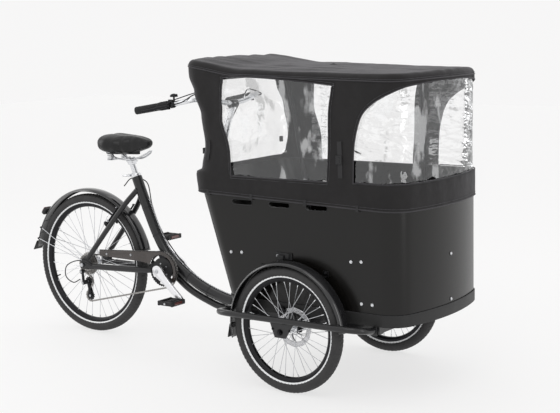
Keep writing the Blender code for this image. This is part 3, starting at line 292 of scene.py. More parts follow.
def clear_film():
    """Clear sheet: nearly all light passes, and a wavy surface mirrors the studio. Noise streaks make the
    mirror stronger in places, which is painted reflection.
    """
    made = Nodes("clear_film_glossy", (0.96, 0.97, 0.98), 0.04, 1.0)
    made.bump(made.noise(6.0, 3.0, (1.0, 1.0, 2.2)), 1.0, 0.03)
    made.bump(made.noise(22.0, 2.0, (1.0, 1.0, 0.6)), 0.25, 0.003)
    fresnel = made.node("ShaderNodeFresnel", IOR=1.42)
    made.link(made.height, fresnel.inputs["Normal"])
    # Painted reflection: where a slow noise passes a threshold, the sheet turns more opaque, so its mirror
    # shows bright streaks that no light or shape causes there.
    painted_reflection_streaks = made.node("ShaderNodeMapRange")
    for socket, value in (("From Min", 0.555), ("From Max", 0.64), ("To Min", 0.0), ("To Max", 0.42)):
        painted_reflection_streaks.inputs[socket].default_value = value
    made.link(made.noise(13.0, 3.0, (1.0, 1.0, 0.45)), painted_reflection_streaks.inputs["Value"])
    mirror = made.node("ShaderNodeMath")
    mirror.operation = "MAXIMUM"
    made.link(made.spread(fresnel.outputs["Fac"], 0.06, 1.2), mirror.inputs[0])
    made.link(painted_reflection_streaks.outputs["Result"], mirror.inputs[1])
    made.link(mirror.outputs[0], made.shader.inputs["Alpha"])
    return made.material


def braided():
    """A woven metal sleeve: light and dark checks wound round the lead."""
    made = Nodes("braided_sleeve", (0.55, 0.56, 0.58), 0.35, 0.7)
    checks = made.node("ShaderNodeTexChecker", Scale=260.0)
    checks.inputs["Color1"].default_value = (0.62, 0.63, 0.65, 1)
    checks.inputs["Color2"].default_value = (0.06, 0.06, 0.065, 1)
    made.link(made.place(), checks.inputs["Vector"])
    made.link(checks.outputs["Color"], made.shader.inputs["Base Color"])
    made.vary_roughness(made.noise(60.0), 0.3, 0.45)
    return made.material


def saddle_vinyl():
    made = Nodes("saddle_vinyl", (0.007, 0.007, 0.0075), 0.36, 0.0, Specular_IOR_Level=0.35)
    made.vary_roughness(made.noise(35.0, 5.0), 0.27, 0.4)
    cells = made.node("ShaderNodeTexVoronoi", Scale=420.0)
    made.link(made.place(), cells.inputs["Vector"])
    made.bump(cells.outputs["Distance"], 0.22, 0.0006)
    return made.material


PAINT = paint("frame_paint", (0.011, 0.011, 0.012), 0.33, 0.5)
GLOSS = paint("fender_gloss", (0.008, 0.008, 0.009), 0.2, 1.0)
BASE = moulded("box_base_black", (0.016, 0.016, 0.016), 0.42, 0.1)
PLASTIC = moulded("moulded_black", (0.018, 0.018, 0.019), 0.5, 0.2)
RUBBER = moulded("grip_compound", (0.024, 0.024, 0.025), 0.72, 0.3)
TYRE = tyre_rubber()
SILVER = metal("polished_alloy", (0.82, 0.83, 0.85), 0.22)
CRANK_SILVER = metal("crank_alloy", (0.93, 0.93, 0.95), 0.3)
STEEL = metal("zinc_steel", (0.62, 0.63, 0.65), 0.3)
DISC = metal("disc_steel", (0.7, 0.7, 0.72), 0.28)
CHAIN_STEEL = metal("chain_steel", (0.36, 0.35, 0.34), 0.38)
BLACK_ALLOY = metal("anodised_black", (0.03, 0.03, 0.032), 0.35)
REFLEX = simple("reflective_band", (0.8, 0.81, 0.82), 0.3)
PANEL = box_laminate()
CLOTH = canopy_cloth("canopy_cloth", (0.0105, 0.0098, 0.01), (0.017, 0.016, 0.0165))
FILM = clear_film()
VINYL = saddle_vinyl()
RED = simple("red_reflector", (0.12, 0.008, 0.008), 0.14, 0.0, Coat_Weight=1.0)
AMBER = simple("dark_reflector", (0.11, 0.02, 0.016), 0.18, 0.0, Coat_Weight=1.0)
PIPING = canopy_cloth("bound_edge", (0.03, 0.029, 0.031), (0.05, 0.048, 0.052))
THREAD = simple("stitch_thread", (0.1, 0.1, 0.11), 0.6)
WEBBING = canopy_cloth("woven_webbing", (0.02, 0.02, 0.021), (0.034, 0.033, 0.034))
BRAID = braided()
SMOKE = simple("smoked_guard", (0.03, 0.021, 0.017), 0.2, 0.0, Coat_Weight=0.6, Alpha=0.9)


# ---------------------------------------------------------------- shapes


def curve_through(points, per_span=8):
    """Catmull-Rom through points of any dimension."""
    points = [Vector(p) for p in points]
    ends = [2 * points[0] - points[1], *points, 2 * points[-1] - points[-2]]
    path = []
    for a, b, c, d in zip(ends, ends[1:], ends[2:], ends[3:]):
        for step in range(per_span):
            t = step / per_span
            square = (2 * a - 5 * b + 4 * c - d) * t**2
            cube = (3 * b - a - 3 * c + d) * t**3
            path.append(0.5 * (2 * b + (c - a) * t + square + cube))
    return [*path, points[-1]]


def ring_points(centre, x_axis, y_axis, radius, sides):
    """The corners of a regular polygon in the plane of two axes."""
    ring = []
    for i in range(sides):
        angle = i * (2 * math.pi / sides)
        ring.append(centre + radius * (x_axis * math.cos(angle) + y_axis * math.sin(angle)))
    return ring


def soften_edges(obj, width):
    edge = obj.modifiers.new("edges", "BEVEL")
    edge.width = width
    edge.segments = 2
    edge.limit_method = "ANGLE"
    edge.angle_limit = math.radians(40)


class Shape:
    """The faces of one piece, gathered from simple solids."""

    def __init__(self):
        self.verts = []
        self.faces = []

    def grid(self, rows, wrap_rows=False, wrap_columns=False, cap=False):
        """Faces between rows of points of equal length."""
        first = len(self.verts)
        count = len(rows[0])
        for row in rows:
            self.verts += [Vector(p) for p in row]
        for r in range(len(rows) if wrap_rows else len(rows) - 1):
            for c in range(count if wrap_columns else count - 1):
                a = first + r * count
                b = first + ((r + 1) % len(rows)) * count
                d = (c + 1) % count
                self.faces.append((a + c, a + d, b + d, b + c))
        if cap:
            self.faces.append(tuple(first + c for c in reversed(range(count))))
            last = first + (len(rows) - 1) * count
            self.faces.append(tuple(last + c for c in range(count)))
        return self

    def tube(self, points, radius, sides=14, closed=False, flat=1.0):
        """A bar along points. radius is one number or one for each point, and flat squeezes it across."""
        points = [Vector(p) for p in points]
        radii = radius if hasattr(radius, "__len__") else [radius] * len(points)
        rows = []
        across = None
        for i, point in enumerate(points):
            before = points[i - 1] if i or closed else point
            after = points[(i + 1) % len(points)] if i + 1 < len(points) or closed else point
            along = (after - before).normalized()
            if across is None:
                across = along.cross(UP if abs(along.z) < 0.9 else FORWARD).normalized()
            across = (across - along * across.dot(along)).normalized()
            rows.append(ring_points(point, across, along.cross(across) * flat, radii[i], sides))
        return self.grid(rows, closed, True, not closed)

    def rod(self, start, end, radius, sides=14, bevel=0.0):
        start, end = Vector(start), Vector(end)
        along = (end - start).normalized()
        if not bevel:
            return self.tube([start, end], radius, sides)
        points = [start, start + along * bevel, end - along * bevel, end]
        return self.tube(points, [radius - bevel, radius, radius, radius - bevel], sides)

    def lathe(self, profile, centre, axis=LEFT, steps=48, closed=True, start=0.0, sweep=360.0):
        """A profile of (radius, height) turned about an axis. Angle 0 is forward, and it turns upward."""
        axis = Vector(axis).normalized()
        x_axis = FORWARD if abs(axis.x) < 0.9 else UP
        x_axis = (x_axis - axis * x_axis.dot(axis)).normalized()
        y_axis = x_axis.cross(axis) if axis.y > 0.5 else axis.cross(x_axis)
        whole = abs(sweep) >= 360.0
        rows = []
        for i in range(steps if whole else steps + 1):
            angle = math.radians(start + sweep * i / steps)
            out = x_axis * math.cos(angle) + y_axis * math.sin(angle)
            rows.append([Vector(centre) + out * r + axis * h for r, h in profile])
        self.grid(rows, whole, closed, closed and not whole)
        return self

    def block(self, centre, size, turn=None):
        """A box, turned about its centre by a 3x3 matrix where one is given."""
        turn = turn or Matrix.Identity(3)
        centre, half = Vector(centre), Vector(size) / 2
        rows = []
        for z in (-half.z, half.z):
            corners = ((-half.x, -half.y), (half.x, -half.y), (half.x, half.y), (-half.x, half.y))
            rows.append([centre + turn @ Vector((x, y, z)) for x, y in corners])
        return self.grid(rows, False, True, True)

    def plate(self, outline, thickness, place):
        """A flat solid from a local outline, put in place by a 4x4 matrix."""
        rows = []
        for z in (-thickness / 2, thickness / 2):
            rows.append([place @ Vector((x, y, z)) for x, y in outline])
        return self.grid(rows, False, True, True)

    def bolt(self, centre, direction, radius=0.006, height=0.004):
        """A domed cap head with a hexagon socket, on a washer."""
        direction = Vector(direction).normalized()
        washer = [(0, 0), (radius * 1.35, 0), (radius * 1.35, 0.0012), (radius, 0.0012)]
        dome = [
            (radius, 0.0012 + height * 0.55), (radius * 0.8, 0.0012 + height),
            (radius * 0.45, 0.0012 + height),
        ]
        socket = [(radius * 0.45, 0.0012 + height * 0.3), (0, 0.0012 + height * 0.3)]
        return self.lathe(washer + dome + socket, centre, direction, 12, False)

    def make(self, name, material, body, replaces=(), bevel=0.0, thickness=0.0, smooth=40.0):
        """Builds the piece, gives it its body, and hides the CAD nodes that it stands for."""
        mesh = bpy.data.meshes.new(name)
        mesh.from_pydata(self.verts, [], self.faces)
        bm = bmesh.new()
        bm.from_mesh(mesh)
        bmesh.ops.remove_doubles(bm, verts=bm.verts, dist=1e-6)
        bmesh.ops.recalc_face_normals(bm, faces=bm.faces)
        bm.to_mesh(mesh)
        bm.free()
        mesh.materials.append(material)
        mesh.shade_smooth()
        mesh.set_sharp_from_angle(angle=math.radians(smooth))
        obj = bpy.data.objects.new(name, mesh)
        bpy.context.scene.collection.objects.link(obj)
        if thickness:
            shell = obj.modifiers.new("thickness", "SOLIDIFY")
            shell.thickness = thickness
            shell.offset = 0
        if bevel:
            soften_edges(obj, bevel)
        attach(obj, body)
        if replaces:
            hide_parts(*replaces)
        return obj


def refinish(material, *nodes, bevel=0.0):
    """A CAD node whose shape is right keeps it, with a better material and softened edges."""
    for name in nodes:
        obj = frame["nodes"][name]
        obj.data.materials.clear()
        obj.data.materials.append(material)
        if bevel:
            soften_edges(obj, bevel)


def smoothstep(value, low, high):
    t = max(0.0, min(1.0, (value - low) / (high - low)))
    return t * t * (3 - 2 * t)


def arc_points(centre, radius, first, last, steps):
    """(x, z) points on an arc, in degrees."""
    found = []
    for i in range(steps + 1):
        angle = math.radians(first + (last - first) * i / steps)
        found.append((centre[0] + radius * math.cos(angle), centre[1] + radius * math.sin(angle)))
    return found


IN_XZ = Matrix(((1, 0, 0, 0), (0, 0, -1, 0), (0, 1, 0, 0), (0, 0, 0, 1)))


def rounded(points, reach, steps=6):
    """The polyline with each inner corner eased over a distance."""
    points = [Vector(p) for p in points]
    path = [points[0]]
    for a, b, c in zip(points, points[1:], points[2:]):
        start = b + (a - b).normalized() * min(reach, (a - b).length / 2)
        end = b + (c - b).normalized() * min(reach, (c - b).length / 2)
        for i in range(steps + 1):
            t = i / steps
            path.append(start * (1 - t) ** 2 + 2 * b * t * (1 - t) + end * t**2)
    return [*path, points[-1]]


def spoke(angle):
    """A unit vector in a wheel's plane. Angle 0 is forward, and it turns upward."""
    return Vector((math.cos(angle), 0, math.sin(angle)))


def collar(bore, outer, half, ease=0, rise=0):
    """The section of a ring. ease and rise are the width and height cut from its outer edges."""
    lower = [(bore, -half), (outer - ease, -half)]
    if ease:
        lower.append((outer, rise - half))
    return lower + [(r, -h) for r, h in reversed(lower)]


def mirror_path(points):
    return points + [flip(p, -1) for p in reversed(points)]


# ---------------------------------------------------------------- wheels

TYRE_SECTION = [
    (0.0, 0.001), (0.0002, 0.0075), (0.0018, 0.0095), (0.003, 0.0135), (0.0065, 0.019), (0.0085, 0.0212),
    (0.015, 0.0238), (0.024, 0.0249), (0.032, 0.0225), (0.0385, 0.017), (0.0408, 0.0137),
]


def tyre(name, centre, radius, body):
    """Rubber with a block tread: staggered centre and shoulder blocks with grooves between."""
    knobs = round(2 * math.pi * radius / 0.019)
    rows = []
    for i in range(knobs * 4):
        angle = math.pi * i / (knobs * 2)
        out = FORWARD * math.cos(angle) + UP * math.sin(angle)
        row = []
        for side in (1, -1):
            half = []
            for depth, y in TYRE_SECTION:
                groove = i % 4 == 0 if y < 0.009 else (i + 2) % 4 == 0 and y < 0.0215
                half.append(centre + out * (radius - depth - (0.0022 if groove else 0.0)) + LEFT * y * side)
            row += half if side > 0 else half[::-1]
        rows.append(row)
    Shape().grid(rows, True, True).make(name + "_tyre_tread", TYRE, body, [name + "_tyre"], smooth=30)


def rim_and_band(name, centre, radius, body):
    bead = radius - 0.0412
    half = [
        (bead, 0.01), (bead, 0.0134), (bead - 0.002, 0.014), (bead - 0.01, 0.0134), (bead - 0.017, 0.0105),
    ]
    half += [(bead - 0.0205, 0.0065), (bead - 0.0216, 0.0)]
    section = half + [(r, -y) for r, y in reversed(half[:-1])]
    Shape().lathe(section, centre, steps=128).make(
        name + "_rim_box_section", BLACK_ALLOY, body, [name + "_rim"],
    )
    bands = Shape()
    for side in (1, -1):
        edge = [
            (bead + 0.0042, side * 0.0168), (bead + 0.0036, side * 0.0184), (bead - 0.0024, side * 0.016),
        ]
        bands.lathe([*edge, (bead - 0.0026, side * 0.0145)], centre, steps=128)
    bands.make(name + "_reflective_band", REFLEX, body)


def spoked_hub(name, centre, radius, body, half, flange_y, flange_r):
    """A turned hub, and crossed spokes that end in nipples at the rim."""
    count = 36
    rim_r = radius - 0.0412 - 0.0214
    spokes = Shape()
    nipples = Shape()
    for i in range(count):
        side = 1 if i % 2 else -1
        lean = 1 if (i // 2) % 2 else -1
        rim_angle = 2 * math.pi * (i + 0.5) / count
        hub_angle = rim_angle + lean * math.radians(62)
        root = centre + spoke(hub_angle) * (flange_r - 0.003)
        root += LEFT * side * (flange_y + 0.0012 * lean)
        out = spoke(rim_angle)
        tip = centre + out * (rim_r + 0.001) + LEFT * side * 0.003
        spokes.tube([root, tip], 0.00115, 6)
        along = (tip - root).normalized()
        nipples.rod(tip - along * 0.013, tip, 0.0021, 8)
    spokes.make(name + "_spokes", STEEL, body)
    nipples.make(name + "_nipples", SILVER, body)
    shell = [
        (0.0072, half), (0.0112, half), (0.0118, half - 0.002), (0.0118, flange_y + 0.0024),
        (flange_r - 0.001, flange_y + 0.002), (flange_r, flange_y), (flange_r - 0.001, flange_y - 0.002),
        (0.015, flange_y - 0.004), (0.0132, flange_y * 0.5), (0.0128, 0.0),
    ]
    section = shell + [(r, -y) for r, y in reversed(shell[:-1])]
    hub = Shape().lathe(section, centre, steps=40)
    hub.make(name + "_hub_shell", SILVER, body, [name + "_hub"])


def drilled_rotor(name, centre, body, node):
    """A brake disc: a pierced braking ring on six curved arms round a carrier."""
    rings = (0.06, 0.064, 0.0662, 0.069, 0.0712, 0.074, 0.0762, 0.08)
    steps = 144
    disc = Shape()
    for band, (low, high) in enumerate(zip(rings, rings[1:])):
        for i in range(steps):
            if band % 2 and (i + 2 * (band // 2)) % 6 < 2:
                continue
            corners = []
            for radius, j in ((low, i), (high, i), (high, i + 1), (low, i + 1)):
                angle = 2 * math.pi * j / steps
                wave = 0.001 * math.cos(12 * angle) if radius in (rings[0], rings[-1]) else 0
                out = spoke(angle)
                corners.append(centre + (radius - 0.001 + wave) * out)
            first = len(disc.verts)
            disc.verts += corners
            disc.faces.append((first, first + 1, first + 2, first + 3))
    disc.make(name + "_ring", DISC, body, [node], thickness=0.0018, smooth=30)
    arms = Shape()
    outward = -LEFT if centre.y < 0 else LEFT
    for i in range(6):
        start, end = math.radians(60 * i), math.radians(60 * i + 38)
        path = []
        for step in range(7):
            t = step / 6
            angle, radius = start + (end - start) * t, 0.018 + 0.044 * t
            path.append(centre + radius * spoke(angle))
        arms.tube(path, 0.0034, 8, flat=0.27)
        arms.bolt(centre + 0.018 * spoke(start), outward, 0.0026, 0.002)
    arms.lathe(collar(0.0119, 0.021, 0.002), centre, steps=40)
    arms.make(name + "_carrier", BLACK_ALLOY, body)


def wheels():
    for side, name in SIDES:
        node, body = "front_" + name, "front_wheel_" + name
        centre = Vector((FRONT_X, side * HALF_TRACK, FRONT_R))
        tyre(node, centre, FRONT_R, body)
        rim_and_band(node, centre, FRONT_R, body)
        spoked_hub(node, centre, FRONT_R, body, 0.049, 0.03, 0.022)
        rotor = "brake_rotor_" + name
        drilled_rotor(rotor, middle(rotor), body, rotor)
    centre = Vector((REAR_X, 0, REAR_R))
    tyre("rear", centre, REAR_R, "rear_wheel")
    rim_and_band("rear", centre, REAR_R, "rear_wheel")
    spoked_hub("rear", centre, REAR_R, "rear_wheel", 0.025, 0.0205, 0.027)


def valve_caps():
    caps = Shape()
    centre = Vector((REAR_X, 0, REAR_R))
    out = spoke(math.radians(200))
    caps.rod(centre + out * 0.24, centre + out * 0.268, 0.003, 10, 0.001)
    caps.make("rear_valve", BLACK_ALLOY, "rear_wheel")


# ---------------------------------------------------------------- fenders, rails and axles


def fender(name, centre, crown, edge, start, sweep, body, node):
    """A rounded channel over a wheel. crown is its largest radius, and edge its section on the left side."""
    arch = [(r, -y, 0) for r, y in edge] + [(crown, 0, 0)] + [(r, y, 0) for r, y in reversed(edge)]
    section = [(p.x, p.y) for p in curve_through(arch, 4)]
    shell = Shape().lathe(section, centre, steps=72, closed=False, start=start, sweep=sweep)
    shell.make(name, GLOSS, body, [node], thickness=0.002)
    beads = Shape()
    for side in (1, -1):
        turns = [math.radians(start + sweep * i / 72) for i in range(73)]
        path = [centre + edge[0][0] * spoke(angle) + LEFT * side * edge[0][1] for angle in turns]
        beads.tube(path, 0.0017, 8)
    beads.make(name + "_rolled_edges", GLOSS, body)


def front_fenders():
    edge = [(0.261, 0.0312), (0.2675, 0.0262), (0.2715, 0.016)]
    for side, name in SIDES:
        centre = Vector((FRONT_X, side * HALF_TRACK, FRONT_R))
        fender("fender_shell_" + name, centre, 0.2732, edge, 4, 189, "front_module", "front_fender_" + name)
        fittings = Shape()
        # Brackets join the fender to the box side, and a small flap ends it behind the wheel.
        y = side * (HALF + 0.002)
        for x in (-0.15, 0.15):
            z = FRONT_R + math.sqrt(0.268**2 - x**2)
            fittings.block(
                Vector((FRONT_X + x, side * (HALF_TRACK - 0.04), z - 0.003)), (0.026, 0.026, 0.003),
            )
            fittings.block(Vector((FRONT_X + x, y + side * 0.001, z + 0.006)), (0.026, 0.003, 0.024))
            fittings.bolt(Vector((FRONT_X + x, y + side * 0.003, z + 0.01)), LEFT * side, 0.004, 0.003)
        fittings.make("fender_brackets_" + name, BLACK_ALLOY, "front_module", bevel=0.0006)
        flap = Shape()
        flap.block(
            at(-0.2745, side * HALF_TRACK, 0.222), (0.004, 0.056, 0.058),
            Matrix.Rotation(math.radians(12), 3, "Y"),
        )
        flap.make("fender_flap_" + name, PLASTIC, "front_module", bevel=0.0012)


def rear_fender():
    centre = Vector((REAR_X, 0, REAR_R))
    edge = [(0.344, 0.0295), (0.3505, 0.0245), (0.3545, 0.015)]
    fender("rear_fender_shell", centre, 0.356, edge, 14, 158, "rear_frame", "rear_fender")
    turn = Matrix.Rotation(math.radians(30), 3, "Y")
    flap = Shape().block(Vector((REAR_X - 0.3615, 0, 0.3865)), (0.0035, 0.057, 0.052), turn)
    flap.make("rear_fender_flap", PLASTIC, "rear_frame", bevel=0.0012)
    wires = Shape()
    clips = Shape()
    for side in (1, -1):
        root = Vector((REAR_X - 0.004, side * 0.0765, 0.352))
        for x, z in ((-0.292, 0.47), (-0.342, 0.427)):
            out = Vector((x, 0, z - REAR_R)).normalized()
            end = centre + out * 0.344 + LEFT * side * 0.0325
            wires.tube(
                rounded([root, root + (end - root) * 0.5 + LEFT * side * 0.004, end], 0.05), 0.0016, 8,
            )
            clips.rod(end - LEFT * side * 0.004, end + LEFT * side * 0.005, 0.005, 12, 0.001)
    wires.make("rear_fender_wires", STEEL, "rear_frame", ["rear_fender_stay"])
    clips.make("rear_fender_clips", PLASTIC, "rear_frame")


def guard_rails():
    for side, name in SIDES:
        points = [
            (-0.34, 0.3205, 0.284), (-0.34, 0.345, 0.284), (-0.334, 0.395, 0.294), (-0.285, 0.4305, 0.3),
            (0.305, 0.4305, 0.3), (0.356, 0.395, 0.294), (0.362, 0.345, 0.284), (0.362, 0.3205, 0.284),
        ]
        path = rounded([at(x, y * side, z) for x, y, z in points], 0.045, 8)
        rail = Shape().tube(path, 0.0125, 22)
        rail.make("rail_tube_" + name, PAINT, "front_module", ["guard_rail_" + name])
        hanger = Shape()
        z = 0.3
        outline = [
            (FRONT_X - 0.05, z - 0.004), (FRONT_X - 0.026, 0.231), (FRONT_X + 0.026, 0.231),
            (FRONT_X + 0.066, z - 0.004),
        ]
        hanger.plate(outline, 0.006, Matrix.Translation((0, side * 0.4305, 0)) @ IN_XZ)
        for x in (-0.335, 0.355):
            hanger.block(at(x, side * 0.3225, 0.283), (0.04, 0.006, 0.04))
        hanger.make("wheel_hanger_" + name, PAINT, "front_module", bevel=0.0012)
        bolts = Shape()
        for x, z in ((-0.034, 0.277), (0.046, 0.277)):
            bolts.bolt(at(x, side * 0.4336, z - 0.012), LEFT * side, 0.0038, 0.003)
        for x in (-0.345, -0.325, 0.345, 0.365):
            bolts.bolt(
                at(x, side * 0.3256, 0.296 if x in (-0.345, 0.365) else 0.27), LEFT * side, 0.0035, 0.003,
            )
        bolts.rod(at(0, side * 0.311, FRONT_R), at(0, side * 0.4455, FRONT_R), 0.0056, 16, 0.0008)
        bolts.tube([at(0, side * 0.4338, FRONT_R), at(0, side * 0.442, FRONT_R)], 0.0098, 6)
        bolts.lathe(
            [(0.0058, 0), (0.0135, 0), (0.0135, 0.0014), (0.0058, 0.0014)],
            at(0, side * 0.4337, FRONT_R), LEFT * side, 28,
        )
        bolts.make("wheel_axle_" + name, BLACK_ALLOY, "front_module")
        caliper = Shape()
        y = side * (HALF_TRACK - 0.043)
        turn = Matrix.Rotation(math.radians(-40), 3, "Y")
        caliper.block(at(-0.058, y - side * 0.013, 0.312), (0.046, 0.018, 0.03), turn)
        caliper.block(at(-0.058, y + side * 0.0075, 0.312), (0.04, 0.01, 0.026), turn)
        caliper.block(at(-0.07, y - side * 0.003, 0.326), (0.018, 0.028, 0.012), turn)
        caliper.make("disc_caliper_" + name, BLACK_ALLOY, "front_module", bevel=0.003)


def front_chassis():
    refinish(PAINT, "front_subframe", bevel=0.0025)
    refinish(STEEL, "kingpin", "headset_bearing")


# ---------------------------------------------------------------- rear frame

SEAT_TOP = at(-1.103, 0, 0.755)
SEAT_LEAN = Vector((-0.383, 0, 0.924)).normalized()
STAY_MIDDLE = at(-1.165, 0.056, 0.6)
STAY_END = Vector((REAR_X + 0.031, 0.0695, 0.364))
STAY_HEADING = (STAY_END - STAY_MIDDLE).normalized()
BOSS_HEADING = Vector((STAY_HEADING.z, 0, -STAY_HEADING.x)).normalized()
MAIN_TUBE = [
    (-1.059, 0.649), (-0.988, 0.496), (-0.921, 0.4), (-0.806, 0.317), (-0.693, 0.264),
    (-0.56, 0.23), (-0.4, 0.213), (-0.2, 0.209),
]
LOWER_TUBE = [(-0.809, 0.262), (-0.695, 0.217), (-0.611, 0.197), (-0.45, 0.186), (-0.2, 0.182)]


def boss_root(side):
    return flip(STAY_MIDDLE + STAY_HEADING * 0.105, side)


def rear_frame():
    frame_tubes = Shape()
    frame_tubes.tube(curve_through([SEAT_TOP] + [at(x, 0, z) for x, z in MAIN_TUBE], 8), 0.024, 32)
    lower = [CRANK + Vector((0.006, 0, -0.008))] + [at(x, 0, z) for x, z in LOWER_TUBE]
    frame_tubes.tube(curve_through(lower, 8), 0.016, 26)
    for side in (1, -1):
        stay = [at(-1.088, 0.016, 0.7), STAY_MIDDLE, STAY_END]
        frame_tubes.tube(curve_through([flip(p, side) for p in stay], 10), 0.0122, 20)
        chainstay = [
            CRANK + Vector((-0.006, 0.018, -0.004)), CRANK + Vector((-0.08, 0.031, -0.01)),
            CRANK + Vector((-0.15, 0.045, -0.014)), Vector((REAR_X + 0.04, 0.0695, 0.326)),
        ]
        frame_tubes.tube(curve_through([flip(p, side) for p in chainstay], 8), 0.014, 22)
    frame_tubes.lathe(collar(0.0168, 0.0222, 0.034, 0.0007, 0.002), CRANK, steps=48)
    frame_tubes.lathe(collar(0.0157, 0.0272, 0.0425, 0.001, 0.003), Vector((KINGPIN_X, 0, 0.2075)), UP, 48)
    along = (at(-1.059, 0, 0.649) - at(-0.988, 0, 0.496)).normalized()
    ring = [(0.0228, -0.004), (0.0258, -0.003), (0.0258, 0.003), (0.0228, 0.004)]
    frame_tubes.lathe(ring, at(-1.045, 0, 0.62), along, 40)
    frame_tubes.make("frame_tubes", PAINT, "rear_frame", ["rear_frame"])
    dropouts = Shape()
    outline = [(-0.016, 0.31), (0.046, 0.312), (0.052, 0.338), (0.046, 0.38), (0.026, 0.38), (-0.014, 0.35)]
    for side in (1, -1):
        place = Matrix.Translation((REAR_X, side * 0.0705, 0)) @ IN_XZ
        dropouts.plate(outline, 0.006, place)
        root = boss_root(side)
        dropouts.rod(root, root + BOSS_HEADING * 0.032, 0.0045, 14)
    dropouts.make("dropouts_and_bosses", PAINT, "rear_frame", bevel=0.001)
    fittings = Shape()
    for side in (1, -1):
        fittings.rod((REAR_X, side * 0.0745, REAR_R), (REAR_X, side * 0.0865, REAR_R), 0.0058, 14, 0.001)
        fittings.tube([(REAR_X, side * 0.075, REAR_R), (REAR_X, side * 0.0835, REAR_R)], 0.0098, 6)
        fittings.bolt(boss_root(side) + BOSS_HEADING * 0.0322, BOSS_HEADING, 0.0052, 0.003)
    fittings.rod((REAR_X, -0.073, REAR_R), (REAR_X, 0.073, REAR_R), 0.0052, 14)
    fittings.make("rear_axle_nuts", STEEL, "rear_frame", ["rear_axle"])


def boom_cable():
    """The brake's outer cable, held to the boom by clips."""
    route = [
        (-0.3, 0.034, 0.208), (-0.56, 0.0345, 0.225), (-0.693, 0.0345, 0.26), (-0.87, 0.0345, 0.37),
        (-0.988, 0.0345, 0.5), (-1.045, 0.0345, 0.62), (-1.085, 0.048, 0.725), (-1.15, 0.02, 0.745),
        (-1.175, -0.01, 0.71),
    ]
    cable = Shape().tube(curve_through([at(*p) for p in route], 8), 0.0025, 12)
    cable.make("rear_brake_hose", PLASTIC, "rear_frame", ["rear_brake_cable"])
    # A braided lead runs down the front of the seat tube and along the top of the boom.
    lead = [(-1.075, 0.69), *MAIN_TUBE]
    path = []
    for before, here, after in zip(lead, lead[1:], lead[2:]):
        along = Vector((after[0] - before[0], 0, after[1] - before[1])).normalized()
        path.append(at(here[0], 0, here[1]) + Vector((-along.z, 0, along.x)) * 0.0268)
    Shape().tube(curve_through(path, 10), 0.0027, 12).make("braided_lead", BRAID, "rear_frame")
    clips = Shape()
    ring = [(0.0238, -0.003), (0.025, -0.0025), (0.025, 0.0025), (0.0238, 0.003)]
    for before, here, after in zip(MAIN_TUBE, MAIN_TUBE[1:], MAIN_TUBE[2:]):
        along = Vector((after[0] - before[0], 0, after[1] - before[1])).normalized()
        clips.lathe(ring, at(here[0], 0, here[1]), along, 36)
    clips.make("boom_clips", PLASTIC, "rear_frame")


def seat_clamp():
    low = SEAT_TOP + SEAT_LEAN * 0.001
    clamp = Shape().lathe(
        collar(0.0143, 0.0226, 0.007, 0.0009, 0.0015), low + SEAT_LEAN * 0.007, SEAT_LEAN, 44,
    )
    ear = low + SEAT_LEAN * 0.007 - FORWARD * 0.027
    turn = Matrix.Rotation(math.radians(-22), 3, "Y")
    for y in (0.006, -0.006):
        clamp.block(ear + LEFT * y, (0.015, 0.0075, 0.011), turn)
    clamp.rod(ear - LEFT * 0.013, ear + LEFT * 0.0135, 0.0026, 12)
    clamp.make("seat_collar", SILVER, "rear_frame", ["seat_clamp"], bevel=0.0006)
    hinge = pivot("seat_clamp_lever_pivot")
    lever = Shape().rod(hinge - LEFT * 0.006, hinge + LEFT * 0.006, 0.007, 20, 0.001)
    tip = [hinge, hinge + Vector((-0.02, -0.001, -0.002)), hinge + Vector((-0.046, 0.006, -0.004))]
    path = curve_through(tip, 8)
    lever.tube(path, [0.0042 - 0.0012 * i / len(path) for i in range(len(path))], 12, flat=1.25)
    lever.make("clamp_lever_blade", SILVER, "seat_clamp_lever", ["seat_clamp_lever"])


def brake_arms():
    upward = -STAY_HEADING
    upward = Vector((upward.x, 0, upward.z)).normalized()
    turn = Matrix.Rotation(math.atan2(upward.x, upward.z), 3, "Y")
    for side, name in SIDES:
        body = "rear_brake_arm_" + name
        root = boss_root(side)
        centre = root + BOSS_HEADING * 0.0205
        arm = Shape()
        arm.lathe(collar(0.005, 0.0096, 0.008, 0.0008, 0.001), centre, BOSS_HEADING, 32)
        path = curve_through(
            [centre + upward * d - LEFT * side * 0.004 for d in (0.006, 0.035, 0.075, 0.109)], 4,
        )
        arm.tube(path, [0.0066 - 0.0022 * i / (len(path) - 1) for i in range(len(path))], 16, flat=0.8)
        arm.make("brake_arm_forging_" + name, BLACK_ALLOY, body, [body])
        pad_middle = centre + upward * 0.024
        pad = Shape()
        pad.block(Vector((pad_middle.x, side * 0.0212, pad_middle.z)), (0.05, 0.0052, 0.01), turn)
        pad.block(Vector((pad_middle.x, side * 0.0258, pad_middle.z)), (0.044, 0.0036, 0.008), turn)
        pad.make("brake_pad_" + name, RUBBER, body, bevel=0.0012)
        hardware = Shape()
        y = pad_middle.y
        hardware.rod(
            (pad_middle.x, side * 0.027, pad_middle.z), (pad_middle.x, side * 0.05, pad_middle.z),
            0.0031, 14,
        )
        hardware.bolt((pad_middle.x, y + side * 0.006, pad_middle.z), LEFT * side, 0.0045, 0.003)
        hardware.bolt(
            centre + upward * 0.102 - LEFT * side * 0.004 + BOSS_HEADING * 0.004, BOSS_HEADING, 0.0035,
            0.0025,
        )
        hardware.make("brake_hardware_" + name, STEEL, body)


def tail_light():
    centre = middle("tail_light")
    turn = Matrix.Rotation(math.radians(40), 3, "Y")
    lens = Shape().block(centre + turn @ Vector((-0.0075, 0, 0.002)), (0.006, 0.038, 0.026), turn)
    lens.make("tail_light_lens", RED, "rear_frame", ["tail_light"], bevel=0.0025)
    case = Shape().block(centre + turn @ Vector((0.0035, 0, 0.001)), (0.02, 0.048, 0.036), turn)
    case.block(centre + turn @ Vector((0.014, 0, -0.004)), (0.012, 0.016, 0.01), turn)
    case.make("tail_light_case", PLASTIC, "rear_frame", bevel=0.005)


# ---------------------------------------------------------------- drivetrain

